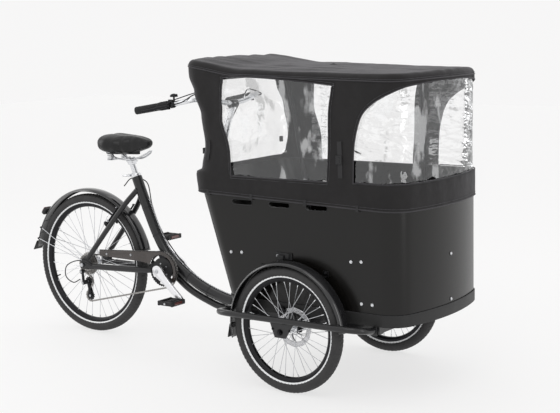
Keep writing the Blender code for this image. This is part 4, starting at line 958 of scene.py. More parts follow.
CHAIN_Y = middle("chain").y
GUIDE = pivot("guide_pulley_spin")
TENSION = pivot("tension_pulley_spin")
PULLEY_R = 0.0215
RING_R = 0.0765
SPROCKET_R = 0.0364
PITCH = 0.0127


def toothed(shape, centre, radius, teeth, bore, holes=0):
    """A flat wheel with pointed teeth. Its web is pierced by round windows where holes is given."""
    outline = []
    for i in range(teeth):
        for share, tall in ((0.0, -0.0026), (0.22, -0.0022), (0.42, 0.001), (0.58, 0.001), (0.78, -0.0022)):
            angle = 2 * math.pi * (i + share) / teeth
            outline.append((radius + tall, angle))
    rings = []
    inner = [(bore, angle) for _, angle in outline]
    levels = [outline, [(radius - 0.006, a) for _, a in outline], inner]
    if holes:
        levels = [
            outline, [(radius - 0.009, a) for _, a in outline], [(radius * 0.42, a) for _, a in outline],
            inner,
        ]
    for level in levels:
        rings.append([centre + r * spoke(a) for r, a in level])
    count = len(outline)
    for index, (a, b) in enumerate(zip(rings, rings[1:])):
        first = len(shape.verts)
        shape.verts += a + b
        for i in range(count):
            if holes and index == 1 and (i * holes * 2 // count) % 2:
                continue
            j = (i + 1) % count
            shape.faces.append((first + i, first + j, first + count + j, first + count + i))
    return shape


def chain_run():
    """The chain's middle line: (x, z) points round the chainring, sprocket and pulleys."""
    half = 0.0045

    def heading(a, b):
        return math.degrees(math.atan2(b.z - a.z, b.x - a.x))

    ring, sprocket = Vector((CRANK.x, 0, CRANK.z)), Vector((REAR_X, 0, REAR_R))
    guide, tension = Vector((GUIDE.x, 0, GUIDE.z)), Vector((TENSION.x, 0, TENSION.z))
    ring_r, sprocket_r, pulley_r = (radius + 0.0012 + half for radius in (RING_R, SPROCKET_R, PULLEY_R))
    lean = math.degrees(math.asin((ring_r - sprocket_r) / (ring - sprocket).length))
    top = heading(sprocket, ring) + 90 + lean
    down = heading(sprocket, guide) - math.degrees(
        math.acos((sprocket_r + pulley_r) / (guide - sprocket).length)
    )
    across = heading(guide, tension) + math.degrees(math.acos(2 * pulley_r / (tension - guide).length))
    low = heading(tension, ring) - 90 - math.degrees(
        math.asin((ring_r - pulley_r) / (ring - tension).length)
    )
    return (
        arc_points((ring.x, ring.z), ring_r, low, top, 40)
        + arc_points((sprocket.x, sprocket.z), sprocket_r, top, down + 360, 24)
        + arc_points((guide.x, guide.z), pulley_r, down + 180, across, 12)
        + arc_points((tension.x, tension.z), pulley_r, across + 180, low + 360, 20)
    )


def link_plate(a, b, y, shape):
    along = (b - a).normalized()
    across = Vector((-along.z, 0, along.x))
    outline = []
    for end, turn in ((b, 1), (a, -1)):
        for i in range(7):
            angle = math.radians(-90 + 30 * i)
            outline.append(
                end + turn * along * 0.0041 * math.cos(angle) + turn * across * 0.0041 * math.sin(angle)
            )
    waist = (a + b) / 2
    outline.insert(7, waist + across * 0.0029)
    outline.append(waist - across * 0.0029)
    rows = [[p + LEFT * (y + t) for p in outline] for t in (-0.0005, 0.0005)]
    shape.grid(rows, False, True, True)


def chain():
    run = [Vector((x, 0, z)) for x, z in chain_run()]
    lengths = [0.0]
    for a, b in zip(run, run[1:] + run[:1]):
        lengths.append(lengths[-1] + (b - a).length)
    count = 2 * round(lengths[-1] / PITCH / 2)
    pins = []
    at_span = 0
    for i in range(count):
        distance = lengths[-1] * i / count
        while lengths[at_span + 1] < distance:
            at_span += 1
        a, b = run[at_span], run[(at_span + 1) % len(run)]
        share = (distance - lengths[at_span]) / max(1e-9, lengths[at_span + 1] - lengths[at_span])
        pins.append(a.lerp(b, share))
    links = Shape()
    for i, pin in enumerate(pins):
        after = pins[(i + 1) % count]
        for side in (1, -1):
            link_plate(pin, after, CHAIN_Y + side * (0.0026 if i % 2 else 0.0016), links)
        links.rod(pin + LEFT * (CHAIN_Y - 0.0033), pin + LEFT * (CHAIN_Y + 0.0033), 0.0018, 8)
        links.rod(pin + LEFT * (CHAIN_Y - 0.0013), pin + LEFT * (CHAIN_Y + 0.0013), 0.0037, 10)
    links.make("chain_links", CHAIN_STEEL, "rear_frame", ["chain"])


def chain_guard():
    c = (CRANK.x, CRANK.z)
    outline = arc_points(c, 0.09, -35, 104, 40) + [
        (c[0] - 0.375, 0.41), (c[0] - 0.378, 0.395), (c[0] - 0.375, 0.38),
    ]
    outline += [(c[0] - 0.12, 0.376), *arc_points(c, 0.07, 160, -35, 40)]
    guard = Shape().plate(outline, 0.0022, Matrix.Translation((0, -0.0605, 0)) @ IN_XZ)
    guard.make("chain_guard_plate", SMOKE, "rear_frame", ["chain_guard"], bevel=0.0008)
    rim = Shape().tube([Vector((x, -0.062, z)) for x, z in arc_points(c, 0.088, -34, 104, 40)], 0.0014, 8)
    rim.tube(
        [Vector((c[0] - 0.022, -0.062, c[1] + 0.0853)), Vector((c[0] - 0.373, -0.062, 0.4085))], 0.001, 8,
    )
    rim.make("chain_guard_edge", BLACK_ALLOY, "rear_frame")
    tabs = Shape()
    for x, z in ((-0.33, 0.392), (-0.18, 0.402)):
        tabs.bolt(Vector((c[0] + x, -0.0618, z)), -LEFT, 0.004, 0.0025)
    tabs.make("chain_guard_screws", STEEL, "rear_frame")


def cassette_and_rings():
    stack = Shape()
    radii = [0.024, 0.0283, SPROCKET_R, 0.0404, 0.0444, 0.0485, 0.0545]
    for i, radius in enumerate(radii):
        centre = Vector((REAR_X, CHAIN_Y - (2.0 - i) * 0.005, REAR_R))
        toothed(stack, centre, radius, round(2 * math.pi * radius / PITCH), 0.015)
    stack.make("sprockets", CHAIN_STEEL, "cassette", ["cassette"], thickness=0.002)
    section = [(0.0118, -0.0225), (0.019, -0.0225), (0.0205, -0.02), (0.0205, 0.0165), (0.0118, 0.017)]
    body = Shape().lathe(section, Vector((REAR_X, CHAIN_Y + 0.005, REAR_R)), LEFT, 40)
    body.make("freehub_body", BLACK_ALLOY, "cassette")
    ring = toothed(Shape(), Vector((CRANK.x, CHAIN_Y, CRANK.z)), RING_R, 38, 0.013, 5)
    ring.make("chainring_toothed", BLACK_ALLOY, "crank", ["chainring"], thickness=0.0034)
    section = [(0.013, -0.0032), (0.056, -0.003), (0.056, -0.0018), (0.013, -0.0018)]
    disc = Shape().lathe(section, Vector((CRANK.x, CHAIN_Y, CRANK.z)), LEFT, 56)
    disc.make("chainring_disc", PLASTIC, "crank")
    bolts = Shape()
    for i in range(5):
        angle = math.radians(36 + 72 * i)
        place = Vector(
            (CRANK.x + 0.03 * math.cos(angle), CHAIN_Y - 0.0018, CRANK.z + 0.03 * math.sin(angle))
        )
        bolts.bolt(place, -LEFT, 0.004, 0.003)
    bolts.make("chainring_bolts", STEEL, "crank")
    for name, centre in (("guide_pulley", GUIDE), ("tension_pulley", TENSION)):
        wheel = toothed(Shape(), Vector((centre.x, CHAIN_Y, centre.z)), PULLEY_R, 11, 0.0037)
        wheel.make(name + "_toothed", PLASTIC, name, [name], thickness=0.004)


def derailleur():
    cage = Shape()
    along = (TENSION - GUIDE).normalized()
    across = Vector((-along.z, 0, along.x))
    for side in (1, -1):
        outline = []
        for end, turn, radius in ((TENSION, 1, 0.0105), (GUIDE, -1, 0.0105)):
            for i in range(13):
                angle = math.radians(-90 + 15 * i)
                outline.append(end + turn * (along * math.cos(angle) + across * math.sin(angle)) * radius)
            if turn > 0:
                outline.append((GUIDE + TENSION) / 2 + across * 0.0065)
        outline.append((GUIDE + TENSION) / 2 - across * 0.0065)
        y = CHAIN_Y + side * 0.0065
        cage.grid(
            [[Vector((p.x, y + t, p.z)) for p in outline] for t in (-0.0009, 0.0009)], False, True, True,
        )
    cage.make("cage_plates", BLACK_ALLOY, "derailleur_cage", ["derailleur_cage"], bevel=0.0005)
    bolts = Shape()
    for centre in (GUIDE, TENSION):
        bolts.rod(
            Vector((centre.x, CHAIN_Y - 0.0074, centre.z)),
            Vector((centre.x, CHAIN_Y + 0.0074, centre.z)), 0.0029, 12,
        )
        bolts.bolt(Vector((centre.x, CHAIN_Y - 0.0074, centre.z)), -LEFT, 0.0042, 0.002)
    bolts.make("cage_bolts", STEEL, "derailleur_cage")
    arm = Shape()
    knuckle = Vector((GUIDE.x + 0.002, CHAIN_Y - 0.03, GUIDE.z))
    top = Vector((REAR_X + 0.004, -0.0865, 0.3))
    for drop in (0.0, -0.014):
        path = [
            top + Vector((0.004, 0, drop)), Vector((REAR_X + 0.014, -0.0905, 0.275 + drop * 0.6)),
            knuckle + Vector((0.004, -0.01, drop * 0.2)),
        ]
        arm.tube(curve_through(path, 6), 0.0058, 14)
    arm.rod(top + LEFT * -0.008, top + LEFT * 0.01, 0.0105, 24, 0.002)
    arm.rod(knuckle + LEFT * -0.014, knuckle + LEFT * 0.014, 0.0105, 24, 0.0015)
    arm.make("derailleur_linkage", BLACK_ALLOY, "rear_frame", ["derailleur_body"])
    hardware = Shape()
    hardware.bolt(knuckle + LEFT * -0.014, -LEFT, 0.0052, 0.003)
    hardware.bolt(top + LEFT * -0.008, -LEFT, 0.0052, 0.003)
    hardware.make("derailleur_bolts", STEEL, "rear_frame")
    loop = [
        Vector((REAR_X + 0.06, -0.08, 0.334)), Vector((REAR_X - 0.01, -0.09, 0.352)),
        Vector((REAR_X - 0.085, -0.094, 0.322)), Vector((REAR_X - 0.095, -0.094, 0.27)),
        Vector((REAR_X - 0.05, -0.093, 0.244)), Vector((REAR_X - 0.006, -0.091, 0.262)),
    ]
    hose = Shape().tube(curve_through(loop, 10), 0.0025, 10)
    hose.make("shift_cable_loop", PLASTIC, "rear_frame")


def crank_arm(side, name):
    end = pivot("pedal_%s_spin" % name)
    hub = Vector((CRANK.x, end.y, CRANK.z))
    along = (end - hub).normalized()
    across = Vector((-along.z, 0, along.x))
    long, hub_r, eye_r = 0.1725, 0.0265, 0.015
    widths = [(0.0, hub_r), (0.02, 0.0245), (0.052, 0.0188), (0.11, 0.0152), (long, eye_r)]
    profile = [(p.x, p.y) for p in curve_through([(a, b, 0) for a, b in widths], 5)]
    loop = profile + arc_points((long, 0), eye_r, 75, -75, 10)
    loop += [(a, -b) for a, b in reversed(profile)] + arc_points((0, 0), hub_r, -105, -255, 10)
    rows = []
    for inset, height in ((0.003, -0.0078), (0.0, -0.005), (0.0, 0.005), (0.003, 0.0078)):
        level = hub + LEFT * side * height
        rows.append([level + along * a + across * b * (1 - inset / 0.016) for a, b in loop])
    arm = Shape().grid(rows, False, True, True)
    arm.make("crank_forging_" + name, CRANK_SILVER, "crank", ["crank_arm_" + name], smooth=50)
    hardware = Shape()
    hardware.rod(end - LEFT * side * 0.006, end + LEFT * side * 0.11, 0.0049, 14)
    if side > 0:
        hardware.rod(CRANK - LEFT * 0.08, CRANK + LEFT * 0.08, 0.0114, 24)
    hardware.bolt(hub + LEFT * side * 0.0078, LEFT * side, 0.0075, 0.003)
    hardware.make("crank_axle_and_spindle_" + name, STEEL, "crank")


def pedal(side, name):
    body = "pedal_" + name
    centre = pivot(body + "_spin") + LEFT * side * 0.062
    cage = Shape()
    for x in (-0.0375, 0.0375):
        cage.block(centre + FORWARD * x, (0.007, 0.092, 0.0195))
        for i in range(9):
            for z in (-0.01, 0.01):
                cage.block(centre + Vector((x, -0.04 + i * 0.01, z)), (0.006, 0.004, 0.0024))
    for y in (-0.042, 0.042):
        cage.block(centre + LEFT * y, (0.078, 0.007, 0.017))
    for y in (-0.021, 0.0, 0.021):
        cage.block(centre + LEFT * y, (0.076, 0.005, 0.012))
    cage.tube([centre - LEFT * 0.044, centre + LEFT * 0.044], 0.0092, 20)
    cage.make("pedal_cage_" + name, PLASTIC, body, [body], bevel=0.0009)
    reflectors = Shape()
    for x in (-0.0413, 0.0413):
        reflectors.block(centre + FORWARD * x, (0.0012, 0.05, 0.012))
    reflectors.make("pedal_reflectors_" + name, AMBER, body, bevel=0.0004)


# ---------------------------------------------------------------- saddle

SADDLE = SEAT_TOP + SEAT_LEAN * 0.068
SADDLE_ROWS = [0.0, 0.04, 0.12, 0.25, 0.4, 0.55, 0.7, 0.85, 0.96, 1.0]
SADDLE_WIDTHS = [0.05, 0.078, 0.096, 0.103, 0.093, 0.069, 0.047, 0.035, 0.025, 0.012]


def saddle_half_width(share):
    for (a, wa), (b, wb) in zip(zip(SADDLE_ROWS, SADDLE_WIDTHS), zip(SADDLE_ROWS[1:], SADDLE_WIDTHS[1:])):
        if share <= b:
            return wa + (wb - wa) * smoothstep(share, a, b)
    return SADDLE_WIDTHS[-1]


def saddle_body(scale):
    """A plump pad: full behind, with sides that roll under and a nose that lifts towards its tip."""
    start, length = SADDLE.x - 0.155, 0.275
    rows = []
    steps, around = 34, 32
    for i in range(steps + 1):
        share = i / steps
        half = saddle_half_width(share) * scale
        ends = math.sin(math.pi / 2 * min(1.0, share * 8 + 0.04)) * math.sin(
            math.pi / 2 * min(1.0, (1 - share) * 11 + 0.05)
        )
        high = SADDLE.z + 0.133 - 0.005 * smoothstep(share, 0.15, 0.5) - 0.007 * smoothstep(share, 0.75, 1.0)
        low = SADDLE.z + 0.047 + 0.012 * (
            1 - smoothstep(share, 0.0, 0.2)
        ) + 0.026 * smoothstep(share, 0.55, 1.0)
        centre, reach = (high + low) / 2, (high - low) / 2 * (0.35 + 0.65 * ends)
        row = []
        for j in range(around):
            angle = 2 * math.pi * j / around
            y, z = math.cos(angle), math.sin(angle)
            wide = math.copysign(abs(y) ** 0.84, y) * half
            height = centre + math.copysign(abs(z) ** 0.74, z) * reach
            if z > 0:
                height -= 0.006 * math.exp(-((wide / 0.02) ** 2)) * ends
            row.append(Vector((start + length * share, wide, height)))
        rows.append(row)
    return Shape().grid(rows, False, True, True)


def swell(obj, pressure, cap, frames):
    """Remeshes a closed form, lets cloth under pressure fill it, and keeps the moves under a cap."""
    remesh = obj.modifiers.new("even", "REMESH")
    remesh.mode = "VOXEL"
    remesh.voxel_size = 0.005
    apply_all(obj)
    rest = [v.co.copy() for v in obj.data.vertices]
    cloth = obj.modifiers.new("cloth", "CLOTH")
    cloth.settings.use_pressure = True
    cloth.settings.uniform_pressure_force = pressure
    cloth.settings.effector_weights.gravity = 0
    cloth.settings.quality = 6
    cloth.point_cache.frame_start, cloth.point_cache.frame_end = 1, frames
    for number in range(1, frames + 1):
        bpy.context.scene.frame_set(number)
    evaluated = obj.evaluated_get(bpy.context.evaluated_depsgraph_get())
    moved = [v.co.copy() for v in evaluated.data.vertices]
    obj.modifiers.remove(cloth)
    bpy.context.scene.frame_set(1)
    for vert, start, end in zip(obj.data.vertices, rest, moved):
        step = end - start
        if step.length > cap:
            step *= cap / step.length
        vert.co = start + step
    obj.data.update()


def apply_all(obj):
    bpy.context.view_layer.update()
    evaluated = obj.evaluated_get(bpy.context.evaluated_depsgraph_get())
    mesh = bpy.data.meshes.new_from_object(evaluated)
    materials = [m for m in obj.data.materials]
    obj.modifiers.clear()
    obj.data = mesh
    mesh.materials.clear()
    for material in materials:
        mesh.materials.append(material)


def saddle():
    pad = saddle_body(0.97).make("saddle_cover", VINYL, "seatpost", ["saddle_pad"])
    swell(pad, 2.0, 0.004, 14)
    for vert in pad.data.vertices:
        vert.co.z = max(vert.co.z, SADDLE.z + 0.0465)
    pad.data.shade_smooth()
    finer = pad.modifiers.new("finer", "SUBSURF")
    finer.levels = finer.render_levels = 1
    start, length = SADDLE.x - 0.155, 0.275
    outline = []
    for i in range(41):
        share = i / 40
        outline.append(Vector((start + length * share, saddle_half_width(share) * 0.985, SADDLE.z + 0.083)))
    base = Shape()
    rows = []
    plan = [(start + 0.03 + (p.x - start) * 0.62, p.y) for p in mirror_path(outline)]
    for inset, z in ((0.5, 0.043), (0.58, 0.046), (0.58, 0.062)):
        rows.append([Vector((x, y * inset, SADDLE.z + z)) for x, y in plan])
    base.grid(rows, False, True, True)
    base.make("saddle_base", PLASTIC, "seatpost", ["saddle_shell"])
    rails = Shape()
    half = [
        (-0.095, 0.04, 0.058), (-0.07, 0.03, 0.024), (0.03, 0.028, 0.0205), (0.095, 0.016, 0.045),
        (0.118, 0.004, 0.062),
    ]
    for side in (1, -1):
        path = curve_through([SADDLE + flip(Vector(p), side) for p in half], 8)
        rails.tube(path, 0.0035, 14)
    rails.make("saddle_wires", STEEL, "seatpost", ["saddle_rails"])
    springs = Shape()
    for side in (1, -1):
        centre = SADDLE + Vector((-0.09, side * 0.046, 0.018))
        coil = []
        for i in range(5 * 14 + 1):
            turn = 2 * math.pi * i / 14
            coil.append(centre + Vector((0.0135 * math.cos(turn), 0.0135 * math.sin(turn), 0.034 * i / 70)))
        springs.tube(coil, 0.0021, 8)
        springs.rod(centre + UP * -0.003, centre + UP * 0.0, 0.015, 20)
        springs.rod(
            centre + Vector((0, 0, -0.0015)), SADDLE + Vector((-0.058, side * 0.028, 0.0205)), 0.0034, 10,
        )
    springs.make("saddle_springs", STEEL, "seatpost")
    post = Shape()
    foot = SEAT_TOP - SEAT_LEAN * 0.12
    post.rod(foot, SADDLE, 0.0136, 36)
    for i in range(12):
        low = SEAT_TOP + SEAT_LEAN * (0.022 + i * 0.0058)
        post.lathe([(0.013, 0), (0.0139, 0.0008), (0.0139, 0.0022), (0.013, 0.003)], low, SEAT_LEAN, 32)
    post.make("seatpost_tube", SILVER, "seatpost", ["seatpost"])
    head = Shape()
    head.block(SADDLE + UP * 0.01, (0.036, 0.04, 0.009))
    head.block(SADDLE + UP * 0.0215, (0.034, 0.064, 0.008))
    head.block(SADDLE + UP * 0.001, (0.03, 0.03, 0.012))
    head.make("saddle_clamp", SILVER, "seatpost", bevel=0.0025)
    bolt = Shape()
    for x in (-0.012, 0.012):
        bolt.rod(SADDLE + Vector((x, 0, -0.006)), SADDLE + Vector((x, 0, 0.028)), 0.0028, 12)
        bolt.bolt(SADDLE + Vector((x, 0, 0.0255)), UP, 0.0045, 0.003)
    bolt.make("saddle_clamp_bolts", STEEL, "seatpost")


# ---------------------------------------------------------------- box

BOX_FRONT = 0.518
BOW = 1.0
FRONT_CORNER = 0.1
REAR_CORNER = 0.08


def box_outline(rear, grow=0.0, spacing=0.014):
    """Plan of the box, anticlockwise from the middle of its bowed front. rear is its back, from the axle."""
    bow_centre = BOX_FRONT - BOW
    corner_y = HALF - FRONT_CORNER
    corner_x = bow_centre + math.sqrt((BOW - FRONT_CORNER) ** 2 - corner_y**2)
    lean = math.degrees(math.atan2(corner_y, corner_x - bow_centre))
    left = arc_points((bow_centre, 0), BOW + grow, 0, lean, 14)[:-1]
    left += arc_points((corner_x, corner_y), FRONT_CORNER + grow, lean, 90, 14)
    back_x = rear + REAR_CORNER
    count = round(0.85 / spacing)
    for i in range(1, count):
        left.append((corner_x + (back_x - corner_x) * i / count, HALF + grow))
    left += arc_points((back_x, HALF - REAR_CORNER), REAR_CORNER + grow, 90, 180, 12)
    count = round((HALF - REAR_CORNER) / spacing)
    for i in range(1, count + 1):
        left.append((rear - grow, (HALF - REAR_CORNER) * (1 - i / count)))
    right = [(x, -y) for x, y in reversed(left[1:-1])]
    return left + right


def rear_at(z):
    return -0.345 - 0.167 * (z - 0.3108) / (0.836 - 0.3108)


def shell(levels, spacing=0.05):
    """A wall through box outlines, as (rear, height, grow) from low to high."""
    made = Shape()
    rows = [[at(x, y, z) for x, y in box_outline(rear, grow, spacing)] for rear, z, grow in levels]
    return made.grid(rows, False, True)


def cut(obj, outlines, place, depth):
    """Cuts openings through a piece. Each outline stands in the plane given by place."""
    for index, outline in enumerate(outlines):
        tool = Shape().plate(outline, depth, place)
        mesh = bpy.data.meshes.new("tool")
        mesh.from_pydata(tool.verts, [], tool.faces)
        bm = bmesh.new()
        bm.from_mesh(mesh)
        bmesh.ops.recalc_face_normals(bm, faces=bm.faces)
        bm.to_mesh(mesh)
        bm.free()
        cutter = bpy.data.objects.new("tool_%d" % index, mesh)
        bpy.context.scene.collection.objects.link(cutter)
        modifier = obj.modifiers.new("opening", "BOOLEAN")
        modifier.operation = "DIFFERENCE"
        modifier.object = cutter
        apply_all(obj)
        bpy.data.objects.remove(cutter, do_unlink=True)


HAND_SLOTS = (-0.3, -0.117, 0.06)
SLOT_Z = 0.737
SLOT_LONG = 0.1
SLOT_HIGH = 0.02


def slot_outline(x, grow=0.0):
    r = SLOT_HIGH / 2 + grow
    right = arc_points((FRONT_X + x + SLOT_LONG - SLOT_HIGH / 2, SLOT_Z), r, -90, 90, 10)
    return right + arc_points((FRONT_X + x + SLOT_HIGH / 2, SLOT_Z), r, 90, 270, 10)


def box():
    low, high = BOX_LOW, BOX_TOP
    heights = [low + (high - low) * i / 12 for i in range(13)]
    levels = [(rear_at(z), z, -0.005) for z in heights]
    wall = shell(levels).make("box_panel_wall", PANEL, "front_module", ["box_wall"], thickness=0.01)
    slots = [slot_outline(x) for x in HAND_SLOTS]
    cut(wall, slots, IN_XZ, 1.0)
    wall.data.set_sharp_from_angle(angle=math.radians(40))
    frames = Shape()
    for side in (1, -1):
        for x in HAND_SLOTS:
            path = [Vector((px, side * (HALF + 0.0002), pz)) for px, pz in slot_outline(x, 0.0006)]
            frames.tube(path, 0.0016, 8, closed=True)
    frames.make("hand_slot_rims", PLASTIC, "front_module")
    rim = Shape()
    outline = box_outline(rear_at(high), -0.005, 0.05)
    rim.tube([at(x, y, high - 0.001) for x, y in outline], 0.0052, 10, closed=True)
    rim.make("box_top_edge", PLASTIC, "front_module")
    band_levels = [
        (rear_at(z), z, g)
        for z, g in ((0.3035, 0.0025), (0.305, 0.0026), (0.3435, 0.0026), (0.345, 0.0024))
    ]
    band = shell(band_levels).make("box_base_band", BASE, "front_module", ["box_floor"], thickness=0.0038)
    band.modifiers["thickness"].offset = 0
    floor = Shape()
    outline = box_outline(rear_at(low), 0.0018, 0.05)
    floor.grid([[at(x, y, z) for x, y in outline] for z in (0.2988, 0.31)], False, True, True)
    floor.make("box_floor_plate", BASE, "front_module", bevel=0.001)
    lip = Shape().tube(
        [at(x, y, 0.3452) for x, y in box_outline(rear_at(0.345), 0.0026, 0.05)], 0.0023, 10, closed=True,
    )
    lip.make("box_band_lip", PLASTIC, "front_module")
    refinish(PANEL, "bench", bevel=0.003)


def box_hardware():
    bolts = Shape()
    rings = Shape()
    washer = [(0.0, 0), (0.0082, 0), (0.0086, 0.0006), (0.0074, 0.0014), (0.0, 0.0014)]
    spots = [(-0.312, 0.529), (-0.258, 0.532), (0.265, 0.54), (0.311, 0.544), (0.31, 0.381), (0.358, 0.382)]
    for side in (1, -1):
        for x, z in spots:
            place = at(x, side * HALF, z)
            bolts.bolt(place + LEFT * side * 0.0012, LEFT * side, 0.0048, 0.003)
            rings.lathe(washer, place, LEFT * side, 24, False)
    for z in (0.543, 0.362):
        bolts.bolt(at(BOX_FRONT + 0.0012, 0, z), FORWARD, 0.0048, 0.003)
        rings.lathe(washer, at(BOX_FRONT, 0, z), FORWARD, 24, False)
    bolts.make("box_bolts", SILVER, "front_module")
    rings.make("box_bolt_washers", PLASTIC, "front_module")
    catch = Shape()
    for side in (1, -1):
        place = at(-0.047, side * (HALF + 0.003), 0.535)
        catch.block(place, (0.078, 0.006, 0.026))
        catch.block(place + Vector((-0.01, side * 0.0085, -0.004)), (0.03, 0.013, 0.016))
        catch.block(place + Vector((0.02, side * 0.006, 0.002)), (0.018, 0.008, 0.02))
    catch.make("box_side_brackets", PLASTIC, "front_module", bevel=0.0015)
    screws = Shape()
    for side in (1, -1):
        for x in (-0.076, -0.03):
            screws.bolt(at(x, side * (HALF + 0.0068), 0.535), LEFT * side, 0.004, 0.0025)
    screws.make("bracket_screws", STEEL, "front_module")


# ---------------------------------------------------------------- canopy


ROOF_REAR = -0.545
SILL = 0.8405
CLOTH_GAP = 0.0054
FOLD = 0.026


def fold_z(x):
    """Height of the roof's rim, which lifts towards the rear."""
    return 1.2635 - 0.021 * x + 0.03 * smoothstep(-x, 0.25, 0.53)


def hem_z(x):
    """Height of the skirt's hem."""
    return 0.752 - 0.026 * x


REAR_EDGE = [
    (0.752, -0.508), (0.842, -0.5165), (0.862, -0.486), (0.96, -0.468), (1.08, -0.485), (1.17, -0.52),
    (1.236, ROOF_REAR), (1.3, ROOF_REAR),
]


def rear_edge(z):
    for (za, xa), (zb, xb) in zip(REAR_EDGE, REAR_EDGE[1:]):
        if z <= zb:
            return xa + (xb - xa) * smoothstep(z, za, zb)
    return REAR_EDGE[-1][1]


def roof_bow(x, y):
    """The roof's front and rear rims arch up towards their middles."""
    ends = 0.006 * smoothstep(x, 0.3, 0.5) + 0.006 * smoothstep(-x, 0.3, 0.52)
    return ends * (1 - (y / HALF) ** 2)


def wrinkle(p):
    """How far the cloth stands out: soft folds down the posts and long creases along the roof."""
    roof = smoothstep(p.z, 1.235, 1.262)
    local = Vector((p.x - FRONT_X, p.y, p.z))
    posts = noise.noise(Vector((local.x * 22, local.y * 22, local.z * 4.5))) * (1 - roof)
    painted_reflection_streaks = noise.noise(Vector((local.x * 5.0 + local.y * 5.0, local.y * 19 - local.x * 3.0, 4.0))) * roof
    fine = noise.noise(Vector((local.x * 34, local.y * 30, local.z * 30)))
    sag = noise.noise(Vector((local.x * 2.2, local.y * 3.0, 9.0))) * roof
    return 0.0022 * posts + 0.0042 * painted_reflection_streaks + 0.0007 * fine + 0.005 * sag


SIDE_WINDOW = [
    (-0.3, SILL), (-0.306, 0.96), (-0.3375, 1.06), (-0.338, 1.15), (-0.33, 1.216), (-0.308, 1.237),
    (-0.11, 1.2345), (0.178, 1.2125), (0.1905, 1.2), (0.176, 1.11), (0.1725, 0.97), (0.163, SILL),
]
FRONT_WINDOW = [
    (0.282, SILL), (0.287, 0.97), (0.302, 1.047), (0.322, 1.098), (0.35, 1.13), (0.39, 1.158), (0.44, 1.184),
    (0.48, 1.205), (0.518, 1.221),
]


def window_edge(points, corners, per_span=6):
    """A smooth edge through (x, z) points, which stays straight between any corners listed."""
    path = []
    runs = [*corners, len(points) - 1] if corners else [len(points) - 1]
    first = 0
    for last in runs:
        run = [Vector((x, 0, z)) for x, z in points[first:last + 1]]
        path += curve_through(run, per_span)[:-1] if len(run) > 2 else run[:-1]
        first = last
    path.append(Vector((points[-1][0], 0, points[-1][1])))
    return [(p.x, p.z) for p in path]


def plan_y(x, grow):
    """Half width of the plan near the front, where the side turns into the bow."""
    bow_centre = BOX_FRONT - BOW
    corner_y = HALF - FRONT_CORNER
    corner_x = bow_centre + math.sqrt((BOW - FRONT_CORNER) ** 2 - corner_y**2)
    if x <= corner_x:
        return HALF + grow
    lean = math.atan2(corner_y, corner_x - bow_centre)
    if x <= corner_x + (FRONT_CORNER + grow) * math.cos(lean):
        return corner_y + math.sqrt(max(0.0, (FRONT_CORNER + grow) ** 2 - (x - corner_x) ** 2))
    return math.sqrt(max(0.0, (BOW + grow) ** 2 - (x - bow_centre) ** 2))


def canopy_rows(grow):
    """The cloth's rows: up the sides, round the fold, and over the roof towards its middle."""
    rows = []
    side_rows = 44
    for i in range(side_rows + 1):
        share = i / side_rows
        base = rear_edge(0.765 + share * (1.275 - 0.765))
        ring = []
        for x, y in box_outline(base, grow - 0.002 * smoothstep(share, 0.2, 0.75)):
            low, high = hem_z(x), fold_z(x) - FOLD
            ring.append(at(x, y, low + (high - low) * share))
        rows.append(ring)
    for step in range(1, 7):
        angle = math.radians(15 * step)
        inset = 0.024 * (1 - math.cos(angle)) - grow + 0.002
        rise = -FOLD + FOLD * math.sin(angle)
        rows.append(
            [at(x, y, fold_z(x) + rise + roof_bow(x, y)) for x, y in box_outline(ROOF_REAR, -inset)]
        )
    for ring in range(1, 34):
        share = 1 - ring / 34
        row = []
        for x, y in box_outline(ROOF_REAR, grow - FOLD):
            px, py = x * share - 0.013 * (1 - share), y * share
            crown = 0.01 * (1 - (py / HALF) ** 2) * smoothstep(1 - share, 0.0, 0.35)
            row.append(at(px, py, fold_z(px) + crown + roof_bow(px, py)))
        rows.append(row)
    return rows


def canopy():
    rows = canopy_rows(CLOTH_GAP)
    cloth = Shape().grid(rows, False, True)
    cloth.verts.append(at(-0.013, 0, fold_z(-0.013) + 0.016))
    count = len(rows[0])
    first = (len(rows) - 1) * count
    centre = len(cloth.verts) - 1
    cloth.faces += [(first + i, first + (i + 1) % count, centre) for i in range(count)]
    obj = cloth.make("canopy_cloth_cover", CLOTH, "front_module", ["canopy_cover"], smooth=70)
    mesh = obj.data
    normals = [v.normal.copy() for v in mesh.vertices]
    for vert, normal in zip(mesh.vertices, normals):
        share = smoothstep(vert.co.z, 0.74, 0.86)
        vert.co += normal * (wrinkle(vert.co) * (0.5 + 0.5 * share) + 0.0006 * (1 - share))
    cover = obj.modifiers.new("thickness", "SOLIDIFY")
    cover.thickness = 0.0026
    cover.offset = -1
    apply_all(obj)
    side = [(FRONT_X + x, z) for x, z in window_edge(SIDE_WINDOW, [])]
    front = window_edge(FRONT_WINDOW, [])
    front = [(FRONT_X + x, z) for x, z in front] + [(FRONT_X + 0.62, 1.224), (FRONT_X + 0.62, SILL)]
    cut(obj, [side, front], IN_XZ, 1.0)
    back = Matrix(((0, 0, 1, FRONT_X - 0.5), (1, 0, 0, 0), (0, 1, 0, 0), (0, 0, 0, 1)))
    corner = [(0.292, 0.868), (0.296, 0.88), (0.288, 1.196), (0.278, 1.21)]
    rear = [(-0.282, 0.86), (0.282, 0.86), *corner, *[(-y, z) for y, z in reversed(corner)]]
    cut(obj, [rear], back, 0.3)
    obj.data.set_sharp_from_angle(angle=math.radians(50))


